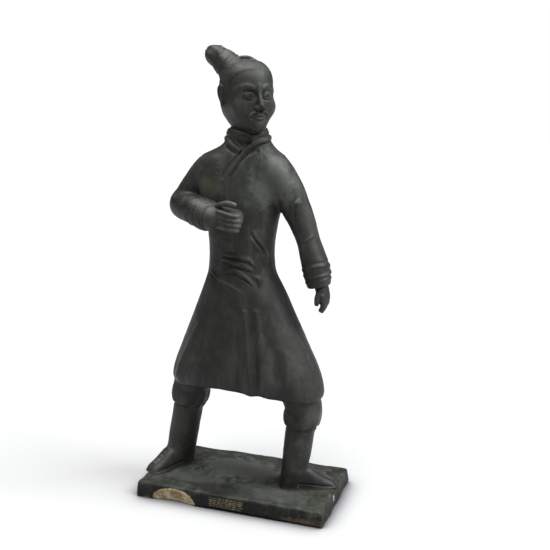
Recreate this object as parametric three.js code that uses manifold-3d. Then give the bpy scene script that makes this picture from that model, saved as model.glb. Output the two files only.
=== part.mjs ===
// A standing terracotta warrior statue on a low rectangular plinth, in millimetres, +Z up.
// The front of the plinth faces -Y and the origin is at the middle of its underside.
// The warrior stands with feet apart, the right forearm across the chest, the left arm hanging free,
// and the head turned to the figure's left, with a side bun, a neck scarf and a crossed robe.
// Pieces are lofts through named stations, joined by manifold-3d into one solid for the figure and one for
// the plinth.
import * as THREE from "three";
import { mergeVertices } from "three/addons/utils/BufferGeometryUtils.js";
import Module from "manifold-3d";

const wasm = await Module();
wasm.setup();

// ---- Driving dimensions ----------------------------------------------------------------------------------
// The slab's size on top, and how far its sides spread towards the underside.
const PLINTH = { width: 213, depth: 105, height: 18, corner: 3, bevel: 1.2, spread: [1.6, 2.4] };
const CHIP = { x: -61, reach: 25, rise: 16.5, depth: 4.2 };
const TOUCH = 0.3; // the gap between the figure's soles and the plinth
const GROUND = PLINTH.height + TOUCH; // the level that the soles stand on
const BAND_SIDES = 5; // facets round a rolled collar
// Levels on the head are shares of its height: 0 at the chin, 1 at the crown.
const HEAD = { at: [12.5, 0], yaw: 48, halfWidth: 26, front: 30, back: 30, chin: 392.5, crown: 464 };
const HEM = { middle: 129.5, droop: 0.0014, centre: -5, from: 232 };

// Robe stations from the neck down: height, centre x and y, half width and depth, yaw in degrees, squareness.
const ROBE = [
  [392, 12.5, 1, 19, 17.5, 18, 2],
  [386, 12.3, 1, 22, 18.8, 18, 2],
  [380, 11, 1, 26.5, 20, 18, 2],
  [374, 8.5, 1, 34, 21.5, 18, 2],
  [367, 7, 1, 42, 23.5, 18, 2.05],
  [354, 6.5, 1, 46.5, 26, 18, 2.1],
  [338, 6, 1, 45.5, 28, 17, 2.15],
  [318, 5.5, 0, 41, 28.5, 15, 2.15],
  [298, 5, 0, 36.5, 27.5, 12, 2.15],
  [278, 4, 0, 34.3, 26, 8, 2.15],
  [262, 3.5, 0, 34.8, 25.5, 4, 2.15],
  [248, 3.5, 0, 37.2, 27, 0, 2.2],
  [230, 4.5, 0, 45, 30.5, -2, 2.3],
  [205, 5, 0, 56.2, 35, -3, 2.35],
  [180, 5.5, 0, 68.5, 39.5, -4, 2.35],
  [157, 6, 0, 80.5, 43, -4, 2.35],
  [142, 6, 0, 86, 44.5, -4, 2.35],
  [133.5, 6, 0, 85.5, 44, -4, 2.35],
  [129.5, 6, 0, 82, 41, -4, 2.35],
];
// Long soft folds of the skirt: angle from the front, width in degrees, rise at the hem.
const PLEATS = [
  [7, 4, -1],
  [13, 4.5, 1.8],
  [19, 4.5, -1.8],
  [26, 5, 1.6],
  [45, 8, 1.2],
  [-26, 9, 1],
  [70, 9, -1.2],
  [-62, 9, -1],
  [122, 9, 1.6],
  [150, 8, -1.4],
  [178, 9, 1.8],
  [-152, 8, -1.4],
  [-122, 9, 1.6],
];
// Raised folds and edges on the robe: stations of angle, height, half width and rise, half sunk in the cloth.
const FOLDS = {
  sashUpper: [[-20, 272, 1], [0, 271.5, 1.9], [18, 268, 2.2], [33, 260, 1]],
  sashMiddle: [[-22, 266, 1.2], [0, 263.5, 2.4], [16, 259, 2.6], [28, 255.5, 1.4]],
  sashLower: [[-12, 253.5, 1.4], [4, 255, 2.6], [16, 250, 2.4], [29, 241, 1.2]],
  knot: [[37, 249, 1.6], [43, 246, 2.6], [42, 240, 1.4]],
  overlap: [[-46, 252, 0.9], [-24, 245, 1.3], [-4, 239.5, 1.3], [8, 235, 0.8]],
  waistUpper: [[22, 295, 1.2], [36, 286, 2], [50, 278, 2], [57, 270, 1]],
  waistLower: [[21, 288, 1.2], [33, 281, 2], [44, 275, 2], [54, 269, 1]],
  forkInner: [[26, 375, 1.2], [19, 370, 2], [19, 363, 2], [21, 355, 1]],
  forkOuter: [[24, 368, 1.2], [28, 361, 2], [37, 354, 1]],
  chest: [[18, 373, 1.2], [2, 364, 2], [-7, 355, 1.8], [-13, 348, 0.9]],
};
// The robe's collar: from the crossing at the breast round the nape and back over itself to the lapel's end.
const COLLAR = [
  [-8, 375.5, 2],
  [-30, 380, 2.8],
  [-60, 385, 3],
  [-110, 387.5, 2.8],
  [-180, 388, 2.6],
  [-250, 387.5, 2.6],
  [-300, 385.5, 2.6],
  [-330, 383.5, 2.4],
  [-350, 379, 2.2],
  [-363, 370, 2],
  [-372, 358, 2],
  [-379, 349, 1.2],
];
// Limb stations: x, y, z, half width, half depth.
const LEFT_SLEEVE = [
  [14, 3, 356, 20, 24],
  [28, 4, 358, 18.5, 22],
  [41, 5, 351.5, 17.5, 20],
  [53, 6, 334.5, 15.8, 18],
  [61, 6.5, 317, 14.8, 16],
  [67.8, 6, 303, 13.4, 15],
  [74.6, 5, 284, 11.8, 14.5],
  [79.2, 4.5, 269, 13, 15.5],
  [83.2, 4, 255, 14.2, 16],
  [85.2, 4, 243.5, 12.8, 14.5],
];
const LEFT_CUFF_FOLDS = [0.7, 0.82, 0.93];
const RIGHT_UPPER = [
  [-4, 1, 354, 20, 24],
  [-17, 1, 357, 18.5, 22.5],
  [-30, 1, 353.5, 17.5, 20.5],
  [-43, 1, 339.5, 16.8, 18.5],
  [-54.5, 0, 324.5, 16, 16.5],
  [-60, -4, 315, 12, 13],
];
const RIGHT_SLEEVE = [
  [-64, 1, 322, 9, 9],
  [-58, -7, 319, 15, 15],
  [-44, -20, 316.5, 14.4, 14.6],
  [-30, -30, 314, 13.6, 14.2],
  [-19, -36, 312, 13.8, 14.4],
  [-12, -39.5, 311, 12, 12.4],
];
const RIGHT_CUFF_FOLDS = [0.62, 0.76, 0.9];
// Legs: joints, radius of the bloused trouser, height of its tie, radii of the shin at the top and the foot.
const RIGHT_LEG = {
  hip: [-56, 7, 130], knee: [-67.3, 9, 96], ankle: [-81.8, 6, GROUND], bag: 21, tie: 89, shin: [16.4, 15.6],
};
const LEFT_LEG = {
  hip: [64, -1, 130], knee: [68.8, -2, 94], ankle: [59, -5.5, GROUND], bag: 20, tie: 86, shin: [15.8, 14.3],
};
// Shoes: heel and toe on the ground, half widths at the sole, and the share of the length where the ball is.
const RIGHT_SHOE = { heel: [-73, 15], toe: [-102, -31] };
const LEFT_SHOE = { heel: [48, -11], toe: [104, 9] };
const SHOE = {
  heelWidth: 11.5, ballWidth: 13, toeWidth: 8.5, heelHeight: 9, ankleHeight: 25, toeHeight: 6.5, ball: 0.6,
};
// The shoe's section from sole edge to sole edge: shares of the half width and of the height.
const SHOE_SECTION = [
  [-1, 0], [-0.98, 0.25], [-0.8, 0.7], [-0.55, 1], [0, 1.06],
  [0.55, 1], [0.8, 0.7], [0.98, 0.25], [1, 0], [0, 0],
];

// ---- Small tools -----------------------------------------------------------------------------------------
const rad = (degrees) => (degrees * Math.PI) / 180;
const bump = (x, width) => Math.exp(-((x / width) ** 2));
const lerp = (a, b, t) => a + (b - a) * t;
const wrap = (degrees) => ((degrees + 540) % 360) - 180;

function smoothstep(low, high, x) {
  const t = Math.min(1, Math.max(0, (x - low) / (high - low)));
  return t * t * (3 - 2 * t);
}

// A row of a station table at t from 0 to 1, on a Catmull-Rom spline through the rows.
function station(rows, t) {
  const place = Math.min(t, 0.999999) * (rows.length - 1);
  const i = Math.floor(place);
  const u = place - i;
  const row = (k) => rows[Math.min(Math.max(k, 0), rows.length - 1)];
  const [p0, p1, p2, p3] = [row(i - 1), row(i), row(i + 1), row(i + 2)];
  return p1.map((_, k) => {
    const slope1 = (p2[k] - p0[k]) / 2;
    const slope2 = (p3[k] - p1[k]) / 2;
    const cubic = 2 * p1[k] - 2 * p2[k] + slope1 + slope2;
    const square = -3 * p1[k] + 3 * p2[k] - 2 * slope1 - slope2;
    return ((cubic * u + square) * u + slope1) * u + p1[k];
  });
}

// A closed geometry through rings of points, capped at both ends.
function loft(rings) {
  const count = rings[0].length;
  const points = rings.flat();
  const middle = (ring) => ring.reduce((sum, p) => sum.add(p), new THREE.Vector3()).divideScalar(ring.length);
  const first = points.length;
  points.push(middle(rings[0]), middle(rings[rings.length - 1]));
  const index = [];
  for (let i = 0; i < count; i++) {
    const next = (i + 1) % count;
    for (let r = 0; r < rings.length - 1; r++) {
      const [a, b] = [r * count + i, r * count + next];
      index.push(a, b, b + count, a, b + count, a + count);
    }
    const end = (rings.length - 1) * count;
    index.push(first, next, i, first + 1, end + i, end + next);
  }
  return new THREE.BufferGeometry().setFromPoints(points).setIndex(index);
}

// A geometry as a manifold-3d solid with its faces pointing out.
function solid(geometry) {
  const merged = geometry.clone();
  merged.deleteAttribute("normal");
  merged.deleteAttribute("uv");
  const welded = mergeVertices(merged, 1e-4);
  const vertProperties = welded.attributes.position.array;
  const build = (triVerts) => new wasm.Manifold(new wasm.Mesh({ numProp: 3, vertProperties, triVerts }));
  const triVerts = new Uint32Array(welded.index.array);
  const made = build(triVerts);
  return made.volume() > 0 ? made : build(triVerts.reverse());
}

function namedMesh(name, shape, material) {
  const made = shape.getMesh();
  const geometry = new THREE.BufferGeometry();
  geometry.setAttribute("position", new THREE.BufferAttribute(made.vertProperties, 3));
  geometry.setIndex(new THREE.BufferAttribute(made.triVerts, 1));
  geometry.computeVertexNormals();
  const mesh = new THREE.Mesh(geometry, material);
  mesh.name = name;
  return mesh;
}

// A tube through stations of x, y, z and two radii. shape(t, angle) multiplies the radii, for folds.
function limb(rows, sides, steps, shape = () => 1, reference = new THREE.Vector3(0, 1, 0)) {
  const at = (t) => new THREE.Vector3(...station(rows, t));
  const rings = [];
  for (let s = 0; s <= steps; s++) {
    const t = s / steps;
    const [x, y, z, wide, deep] = station(rows, t);
    const along = at(Math.min(1, t + 0.01)).sub(at(Math.max(0, t - 0.01))).normalize();
    const side = new THREE.Vector3().crossVectors(along, reference).normalize();
    const up = new THREE.Vector3().crossVectors(side, along);
    const ring = [];
    for (let i = 0; i < sides; i++) {
      const angle = (i / sides) * 2 * Math.PI;
      const swell = shape(t, angle);
      ring.push(
        new THREE.Vector3(x, y, z)
          .addScaledVector(side, wide * swell * Math.cos(angle))
          .addScaledVector(up, deep * swell * Math.sin(angle)),
      );
    }
    rings.push(ring);
  }
  return solid(loft(rings));
}

// An ellipsoid, turned about Z by yaw and placed.
function ellipsoid(at, radii, yaw = 0, detail = 12) {
  const geometry = new THREE.SphereGeometry(1, detail, Math.round(detail * 0.7));
  geometry.scale(...radii).rotateZ(rad(yaw)).translate(...at);
  return solid(geometry);
}

// ---- The robe --------------------------------------------------------------------------------------------
// How far the skirt's hanging cloth drops below its station, more towards the sides.
function drop(x, height) {
  return smoothstep(HEM.from, HEM.middle, height) * HEM.droop * (x - HEM.centre) ** 2;
}

function pleat(angle, height) {
  const hang = smoothstep(HEM.from - 10, HEM.middle + 10, height);
  const one = ([centre, width, rise]) => rise * bump(wrap(angle - centre), width);
  return hang * PLEATS.reduce((sum, row) => sum + one(row), 0);
}

// A point on the robe at an angle from its front, in degrees, and a station height, lifted off the cloth.
function onRobe(angle, row, lift = 0) {
  const [height, x, y, wide, deep, yaw, square] = row;
  const power = (value) => Math.sign(value) * Math.abs(value) ** (2 / square);
  const rise = lift + pleat(angle, height);
  const across = power(Math.sin(rad(angle))) * (wide + rise);
  const ahead = power(Math.cos(rad(angle))) * (deep + rise);
  const turn = rad(yaw);
  const px = x + across * Math.cos(turn) + ahead * Math.sin(turn);
  const py = y + across * Math.sin(turn) - ahead * Math.cos(turn);
  return new THREE.Vector3(px, py, height - drop(px, height));
}

// The station of a table whose first column is the given value.
function rowAt(rows, value) {
  const rising = rows[rows.length - 1][0] > rows[0][0];
  let [low, high] = [0, 1];
  for (let k = 0; k < 30; k++) {
    const middle = (low + high) / 2;
    if (station(rows, middle)[0] < value === rising) low = middle;
    else high = middle;
  }
  return station(rows, low);
}

function robe(sides = 36, steps = 21) {
  const rings = [];
  for (let s = 0; s <= steps; s++) {
    const row = station(ROBE, s / steps);
    rings.push(Array.from({ length: sides }, (_, i) => onRobe((i / sides) * 360, row)));
  }
  return solid(loft(rings));
}

// A raised fold: a tube, partly sunk, that follows stations of angle, height and half width on the robe.
function fold(rows, sink, sides, stepsPerRow) {
  const path = rows.map(([angle, height, size]) => {
    const p = onRobe(angle, rowAt(ROBE, height), -size * sink);
    return [p.x, p.y, p.z, size, size];
  });
  return limb(path, sides, stepsPerRow * (rows.length - 1), () => 1, new THREE.Vector3(0, 0, 1));
}

// ---- Collar and scarf ------------------------------------------------------------------------------------
// A band round the neck: stations by angle from the robe's front, dipping to a point at the front.
function neckBand({ centre, radius, thick, tall, side, front, yaw, dip }, steps = 20) {
  const rings = [];
  for (let s = 0; s < steps; s++) {
    const angle = (s / steps) * 2 * Math.PI;
    const low = lerp(side, front, bump(wrap((angle * 180) / Math.PI), dip));
    const out = new THREE.Vector3(Math.sin(angle + rad(yaw)), -Math.cos(angle + rad(yaw)), 0);
    const ring = [];
    for (let i = 0; i < BAND_SIDES; i++) {
      const turn = (i / BAND_SIDES) * 2 * Math.PI;
      ring.push(
        new THREE.Vector3(centre[0], centre[1], low + (tall / 2) * Math.sin(turn))
          .addScaledVector(out, radius + (thick / 2) * Math.cos(turn)),
      );
    }
    rings.push(ring);
  }
  const count = rings.length;
  const points = rings.flat();
  const index = [];
  for (let s = 0; s < count; s++) {
    for (let i = 0; i < BAND_SIDES; i++) {
      const next = (i + 1) % BAND_SIDES;
      const [here, there] = [s * BAND_SIDES, ((s + 1) % count) * BAND_SIDES];
      const [a, b, c, d] = [here + i, here + next, there + i, there + next];
      index.push(a, b, d, a, d, c);
    }
  }
  return solid(new THREE.BufferGeometry().setFromPoints(points).setIndex(index));
}

function collar() {
  const scarf = neckBand({
    centre: [12.6, 0], radius: 15.5, thick: 12, tall: 12, side: 392, front: 389.5, yaw: 22, dip: 50,
  });
  return scarf.add(fold(COLLAR, 0.1, 5, 2));
}

// ---- Arms and hands --------------------------------------------------------------------------------------
// Ring folds of a gathered sleeve: small swellings at the given shares of its length.
const gathered = (places) => (t) => 1 + places.reduce((sum, place) => sum + 0.07 * bump(t - place, 0.03), 0);

// A finger: a tapered tube through points, with a round tip.
function finger(points, thick) {
  const rows = points.map((p, i) => {
    const size = thick * (i === points.length - 1 ? 0.55 : 1);
    return [...p, size, size * 0.92];
  });
  return limb(rows, 5, 2 * (points.length - 1) - 1, () => 1, new THREE.Vector3(0.3, 1, 0.2));
}

function leftHand() {
  let hand = limb(
    [
      [87, 4, 248, 6, 8],
      [89, 3.5, 237, 6.8, 9],
      [91.2, 3, 229, 6.4, 9.5],
      [92, 2, 223, 5.2, 9],
    ],
    8,
    4,
  );
  for (let i = 0; i < 4; i++) {
    const y = 8.5 - 4.5 * i;
    const tip = [215.5, 213, 212.5, 214.5][i];
    hand = hand.add(finger([[92, y, 228], [92.8, y - 0.4, 220], [91, y - 0.8, tip]], 2.8));
  }
  return hand.add(finger([[88.6, -4, 234], [87.4, -7, 228], [87.2, -8, 222.5]], 3.1));
}

// The right hand's palm is thick enough to rest on the breast, so the fingers close on clay.
function rightHand() {
  let hand = limb(
    [
      [-16, -35, 311, 9, 10],
      [-9, -36.5, 311.5, 10, 10.5],
      [-3, -37, 311.5, 10.5, 10.5],
      [4, -36, 310.5, 9.8, 11],
      [11, -33, 310, 8.5, 9],
    ],
    8,
    4,
  );
  for (let i = 0; i < 4; i++) {
    const z = 319 - 4.9 * i;
    const reach = [15.5, 17.5, 17, 15][i];
    const bent = [
      [-1, -43.5, z],
      [reach - 5, -44.5, z - 1.2],
      [reach, -41, z - 2.4],
      [reach - 3, -35, z - 3],
    ];
    hand = hand.add(finger(bent, 2.7));
  }
  return hand.add(finger([[-9, -39, 319], [0, -41, 324.5], [11, -38.5, 326]], 3.1));
}

function arms() {
  const left = limb(LEFT_SLEEVE, 12, 16, gathered(LEFT_CUFF_FOLDS));
  const upper = limb(RIGHT_UPPER, 12, 8);
  const right = limb(RIGHT_SLEEVE, 12, 13, gathered(RIGHT_CUFF_FOLDS), new THREE.Vector3(0, 0, 1));
  return left.add(leftHand()).add(upper).add(right).add(rightHand());
}

// ---- Legs and shoes --------------------------------------------------------------------------------------
function leg({ hip, knee, ankle, bag, tie, shin }) {
  const at = (z) => {
    const t = (knee[2] - z) / (knee[2] - ankle[2]);
    return [lerp(knee[0], ankle[0], t), lerp(knee[1], ankle[1], t), z];
  };
  const [top, foot] = shin;
  const trouser = limb(
    [
      [...hip, bag + 1, bag + 1],
      [...at(tie + 22), bag - 0.5, bag - 0.5],
      [...at(tie + 9), bag, bag],
      [...at(tie), top + 0.8, top + 0.8],
    ],
    12,
    6,
  );
  const wrapped = limb(
    [
      [...at(tie + 4), top, top],
      [...at(62), lerp(top, foot, 0.4), lerp(top, foot, 0.4)],
      [...at(38), foot, foot],
      [...at(GROUND), foot, foot],
    ],
    12,
    4,
  );
  return trouser.add(wrapped);
}

// A low shoe with a flat sole, sloping sides and a square toe.
function shoe({ heel, toe }) {
  const along = new THREE.Vector3(toe[0] - heel[0], toe[1] - heel[1], 0);
  const length = along.length();
  along.normalize();
  const across = new THREE.Vector3(-along.y, along.x, 0);
  const rings = [];
  const steps = 9;
  for (let s = 0; s <= steps; s++) {
    const t = s / steps;
    const wide =
      t < SHOE.ball
        ? lerp(SHOE.heelWidth, SHOE.ballWidth, t / SHOE.ball)
        : lerp(SHOE.ballWidth, SHOE.toeWidth, (t - SHOE.ball) / (1 - SHOE.ball));
    const rounding = Math.sqrt(Math.min(1, Math.min(t, 1 - t) * 8 + 0.35));
    const instep = lerp(SHOE.ankleHeight, SHOE.toeHeight, smoothstep(0.35, 1, t));
    const tall = lerp(SHOE.heelHeight, instep, smoothstep(0, 0.35, t));
    const base = new THREE.Vector3(heel[0], heel[1], GROUND).addScaledVector(along, t * length);
    rings.push(
      SHOE_SECTION.map(([w, h]) =>
        base.clone().addScaledVector(across, w * wide * rounding).setZ(GROUND + h * tall),
      ),
    );
  }
  return solid(loft(rings));
}

// ---- Head ------------------------------------------------------------------------------------------------
const NECK = [
  [12.5, 1, 378, 17, 17],
  [12.5, 1, 391, 17.5, 17.5],
  [12, 3, 398, 15.5, 16],
  [11, 4, 408, 14, 14],
];
// Head shape by height from 0 at the chin to 1 at the crown: shares of the half width, front and back.
const SKULL = [
  [0, 0.22, 0.5, 0.2],
  [0.05, 0.5, 0.84, 0.45],
  [0.14, 0.72, 0.93, 0.68],
  [0.26, 0.88, 0.93, 0.86],
  [0.4, 0.97, 0.92, 0.96],
  [0.55, 1, 0.91, 1],
  [0.7, 0.98, 0.88, 1],
  [0.82, 0.89, 0.77, 0.94],
  [0.91, 0.7, 0.57, 0.76],
  [0.97, 0.42, 0.32, 0.46],
  [1, 0.1, 0.08, 0.1],
];
// Heights of the head's rings: close together over the features, wider over the skull.
const FACE_RINGS = { from: 0.08, to: 0.62, count: 19 };
const LEVELS = [
  0,
  0.02,
  0.05,
  ...Array.from({ length: FACE_RINGS.count }, (_, i) =>
    lerp(FACE_RINGS.from, FACE_RINGS.to, i / (FACE_RINGS.count - 1)),
  ),
  0.67,
  0.73,
  0.79,
  0.85,
  0.9,
  0.94,
  0.97,
  0.99,
  1,
];
const NOSE = {
  root: 0.56, tip: 0.37, base: 0.335, rootRise: 1.2, tipRise: 7.4, rootWidth: 2.4, tipWidth: 3.6,
};
// Relief of the face in millimetres: across, level, half width across, half height as a level, rise.
const FACE = [
  [4, 0.365, 2.2, 0.024, 2],
  [9, 0.515, 5.5, 0.034, -1.8],
  [9, 0.5, 4.4, 0.018, 2],
  [9, 0.585, 7, 0.022, 0.9],
  [13, 0.38, 7, 0.09, 0.9],
  [4.5, 0.292, 3.4, 0.014, 1.5],
  [8.5, 0.272, 2.8, 0.016, 1.1],
  [0, 0.262, 5.4, 0.014, 1.2],
  [0, 0.243, 6.2, 0.008, -1],
  [0, 0.218, 4.8, 0.018, 1.6],
  [0, 0.168, 5, 0.016, -0.8],
  [0, 0.15, 1.8, 0.03, 0.8],
  [0, 0.09, 7, 0.045, 1.6],
];

// Turns a point of the head's own frame (x to the figure's left, y behind the face) into the statue's frame.
function placeOnHead(x, y, z) {
  return new THREE.Vector3(x, y, z)
    .applyAxisAngle(new THREE.Vector3(0, 0, 1), rad(HEAD.yaw))
    .add(new THREE.Vector3(HEAD.at[0], HEAD.at[1], 0));
}

// The nose's rise over the face: a ridge that widens from the root to the tip and is cut off underneath.
function nose(x, level) {
  const down = Math.min(1, Math.max(0, (NOSE.root - level) / (NOSE.root - NOSE.tip)));
  const rise = lerp(NOSE.rootRise, NOSE.tipRise, down) * smoothstep(NOSE.base, NOSE.tip, level);
  const fade = 1 - smoothstep(NOSE.root, NOSE.root + 0.1, level);
  return rise * fade * bump(x, lerp(NOSE.rootWidth, NOSE.tipWidth, down));
}

function skull(sides = 30) {
  const rings = LEVELS.map((level) => {
    const [, wide, front, back] = rowAt(SKULL, level);
    const ring = [];
    for (let i = 0; i < sides; i++) {
      const turn = (i / sides) * 2 * Math.PI;
      const angle = turn - 0.55 * Math.sin(turn); // columns close together at the face
      const x = HEAD.halfWidth * wide * Math.sin(angle);
      const ahead = Math.cos(angle);
      const reach = ahead > 0 ? HEAD.front * front : HEAD.back * back;
      const relief = FACE.reduce(
        (sum, [across, height, halfWidth, halfHeight, rise]) =>
          sum + rise * bump(Math.abs(x) - across, halfWidth) * bump(level - height, halfHeight),
        nose(x, level),
      );
      const y = -ahead * reach - relief * smoothstep(0.1, 0.5, ahead);
      ring.push(placeOnHead(x, y, lerp(HEAD.chin, HEAD.crown, level)));
    }
    return ring;
  });
  return solid(loft(rings));
}

function ear(side) {
  const rows = [
    [side * 26.5, 3, 439, 1.6, 3.2],
    [side * 28, 3.5, 434, 2.4, 4.6],
    [side * 27.6, 2.5, 426, 2.2, 3.8],
    [side * 26, 1, 419, 1.6, 2.6],
  ].map(([x, y, z, wide, deep]) => [...placeOnHead(x, y, z).toArray(), wide, deep]);
  return limb(rows, 8, 5, () => 1, placeOnHead(0, 1, 0).sub(placeOnHead(0, 0, 0)));
}

// The bun: a thick twist of hair, tied twice at its root, that leans to the figure's right and back.
const BUN = [
  [-7, 6, 449, 15, 15],
  [-12, 9.3, 455.5, 14, 14],
  [-14, 10.8, 458.2, 14.4, 14.4],
  [-15.8, 12.1, 460.4, 12.2, 12.2],
  [-18, 13.8, 463, 12.8, 12.8],
  [-20, 15.3, 465.2, 10.4, 10.4],
  [-22.5, 17.2, 467.6, 9.4, 9.4],
  [-25.5, 19.4, 470, 9.2, 9.2],
  [-28.5, 21.5, 472, 7.4, 7.4],
  [-30.5, 23, 473, 3, 3],
];
// A strand of hair that runs from the bun's root over the crown.
const STRAND = [
  [-12, 6, 460.5, 3, 3],
  [-6, 1, 463, 3.2, 2.6],
  [1, -4, 462.5, 3.2, 2.4],
  [7, -7, 459.5, 2.4, 2],
];

function hair() {
  const place = ([x, y, z, wide, deep]) => [...placeOnHead(x, y, z).toArray(), wide, deep];
  const bun = limb(BUN.map(place), 12, 14, () => 1, new THREE.Vector3(0, 0, 1));
  const strand = limb(STRAND.map(place), 6, 5, () => 1, new THREE.Vector3(0, 0, 1));
  return bun.add(strand);
}

function head() {
  const neck = limb(NECK, 12, 4);
  return skull().add(neck).add(ear(1)).add(ear(-1)).add(hair());
}

// ---- Plinth ----------------------------------------------------------------------------------------------
// A slab with eased edges and a shell-shaped chip out of its lower front edge, near the figure's right foot.
function plinth() {
  const { width, depth, height, corner, bevel, spread } = PLINTH;
  const outline = new THREE.Shape();
  const [w, d] = [width / 2 - bevel, depth / 2 - bevel];
  outline.moveTo(-w + corner, -d).lineTo(w - corner, -d).quadraticCurveTo(w, -d, w, -d + corner);
  outline.lineTo(w, d - corner).quadraticCurveTo(w, d, w - corner, d);
  outline.lineTo(-w + corner, d).quadraticCurveTo(-w, d, -w, d - corner);
  outline.lineTo(-w, -d + corner).quadraticCurveTo(-w, -d, -w + corner, -d);
  const slab = new THREE.ExtrudeGeometry(outline, {
    depth: height - 2 * bevel, bevelThickness: bevel, bevelSize: bevel, bevelSegments: 1, curveSegments: 3,
  }).translate(0, 0, bevel);
  const place = slab.attributes.position;
  for (let i = 0; i < place.count; i++) {
    const low = 1 - place.getZ(i) / height;
    place.setX(i, place.getX(i) * (1 + (low * spread[0]) / (width / 2)));
    place.setY(i, place.getY(i) * (1 + (low * spread[1]) / (depth / 2)));
  }
  const chip = ellipsoid([CHIP.x, -depth / 2 - spread[1], 0], [CHIP.reach, CHIP.depth, CHIP.rise], 0, 20);
  return solid(slab).subtract(chip);
}

// ---- The statue ------------------------------------------------------------------------------------------
const fired = new THREE.MeshStandardMaterial({ color: 0x3b3c38, roughness: 0.55, metalness: 0 });
const slab = new THREE.MeshStandardMaterial({ color: 0x383a37, roughness: 0.6, metalness: 0 });

function figure() {
  let made = robe().add(collar()).add(arms()).add(head());
  for (const rows of Object.values(FOLDS)) made = made.add(fold(rows, 0.4, 4, 2));
  made = made.add(leg(RIGHT_LEG)).add(leg(LEFT_LEG)).add(shoe(RIGHT_SHOE)).add(shoe(LEFT_SHOE));
  const below = new THREE.BoxGeometry(2 * PLINTH.width, 2 * PLINTH.depth, 2 * GROUND);
  return made.subtract(solid(below));
}

const statue = new THREE.Group();
statue.add(namedMesh("figure", figure(), fired), namedMesh("plinth", plinth(), slab));

export default statue;
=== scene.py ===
"""A dark fired-clay warrior on its plinth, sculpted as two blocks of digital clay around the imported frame.

The sculpting works in millimetres in the part's own frame: +Z up, the plinth's front towards -Y, +X to the
warrior's left. Each block of clay is a signed distance field on a grid, negative inside, which strokes and
lumps are added to or cut from. Blender's own lengths are in metres.
"""
import math

import bpy
import numpy as np
from mathutils import Matrix, Vector


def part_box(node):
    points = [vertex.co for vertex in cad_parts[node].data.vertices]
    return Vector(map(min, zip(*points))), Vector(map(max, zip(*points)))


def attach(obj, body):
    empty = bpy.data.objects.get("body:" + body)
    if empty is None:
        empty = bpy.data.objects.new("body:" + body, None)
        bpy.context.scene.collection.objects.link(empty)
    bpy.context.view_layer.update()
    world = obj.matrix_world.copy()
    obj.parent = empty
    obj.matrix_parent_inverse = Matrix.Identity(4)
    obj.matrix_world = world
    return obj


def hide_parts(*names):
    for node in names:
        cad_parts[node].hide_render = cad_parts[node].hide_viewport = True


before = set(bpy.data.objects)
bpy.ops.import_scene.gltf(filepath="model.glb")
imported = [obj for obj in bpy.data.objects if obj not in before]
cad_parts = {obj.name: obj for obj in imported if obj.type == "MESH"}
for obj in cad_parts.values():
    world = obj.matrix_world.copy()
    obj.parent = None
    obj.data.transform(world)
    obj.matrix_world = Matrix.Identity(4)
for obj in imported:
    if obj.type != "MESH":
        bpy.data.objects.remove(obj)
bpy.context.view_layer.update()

MM = 0.001  # a millimetre in Blender's metres
FAR = 40.0  # the field's value away from all clay
SLAB_LOW, SLAB_HIGH = (np.array(corner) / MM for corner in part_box("plinth"))
GROUND = SLAB_HIGH[2]  # the top of the plinth
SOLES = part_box("figure")[0][2] / MM  # the underside of the figure, a hair above it

# ---- The figure's stations, as in the part's source ----
# Robe: height, centre x and y, half width and depth, yaw in degrees, squareness.
ROBE = [
    [392, 12.5, 1, 19, 17.5, 18, 2], [386, 12.3, 1, 22, 18.8, 18, 2], [380, 11, 1, 26.5, 20, 18, 2],
    [374, 8.5, 1, 34, 21.5, 18, 2], [367, 7, 1, 42, 23.5, 18, 2.05], [354, 6.5, 1, 46.5, 26, 18, 2.1],
    [338, 6, 1, 45.5, 28, 17, 2.15], [318, 5.5, 0, 41, 28.5, 15, 2.15], [298, 5, 0, 36.5, 27.5, 12, 2.15],
    [278, 4, 0, 34.3, 26, 8, 2.15], [262, 3.5, 0, 34.8, 25.5, 4, 2.15], [248, 3.5, 0, 37.2, 27, 0, 2.2],
    [230, 4.5, 0, 45, 30.5, -2, 2.3], [205, 5, 0, 56.2, 35, -3, 2.35], [180, 5.5, 0, 68.5, 39.5, -4, 2.35],
    [157, 6, 0, 80.5, 43, -4, 2.35], [142, 6, 0, 86, 44.5, -4, 2.35], [133.5, 6, 0, 85.5, 44, -4, 2.35],
    [129.5, 6, 0, 82, 41, -4, 2.35],
]
# Where the hem hangs: its height in the middle, how it droops away from its centre, and from what height.
HEM = {"middle": 129.5, "droop": 0.0014, "centre": -5, "from": 232}
# Long soft folds of the skirt: angle from the front, width in degrees, rise at the hem.
PLEATS = [
    [7, 4, -1.3], [13, 4, 2.2], [19, 4.2, -1.9], [26, 5, 2], [38, 5, -0.9], [48, 7, 1.8],
    [-26, 9, 1.2], [-9, 5, -0.8], [70, 9, -1.4], [-45, 5, 1], [-62, 9, -1.2], [122, 9, 1.8],
    [150, 8, -1.6], [178, 9, 2], [-152, 8, -1.6], [-122, 9, 1.8],
]
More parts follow.
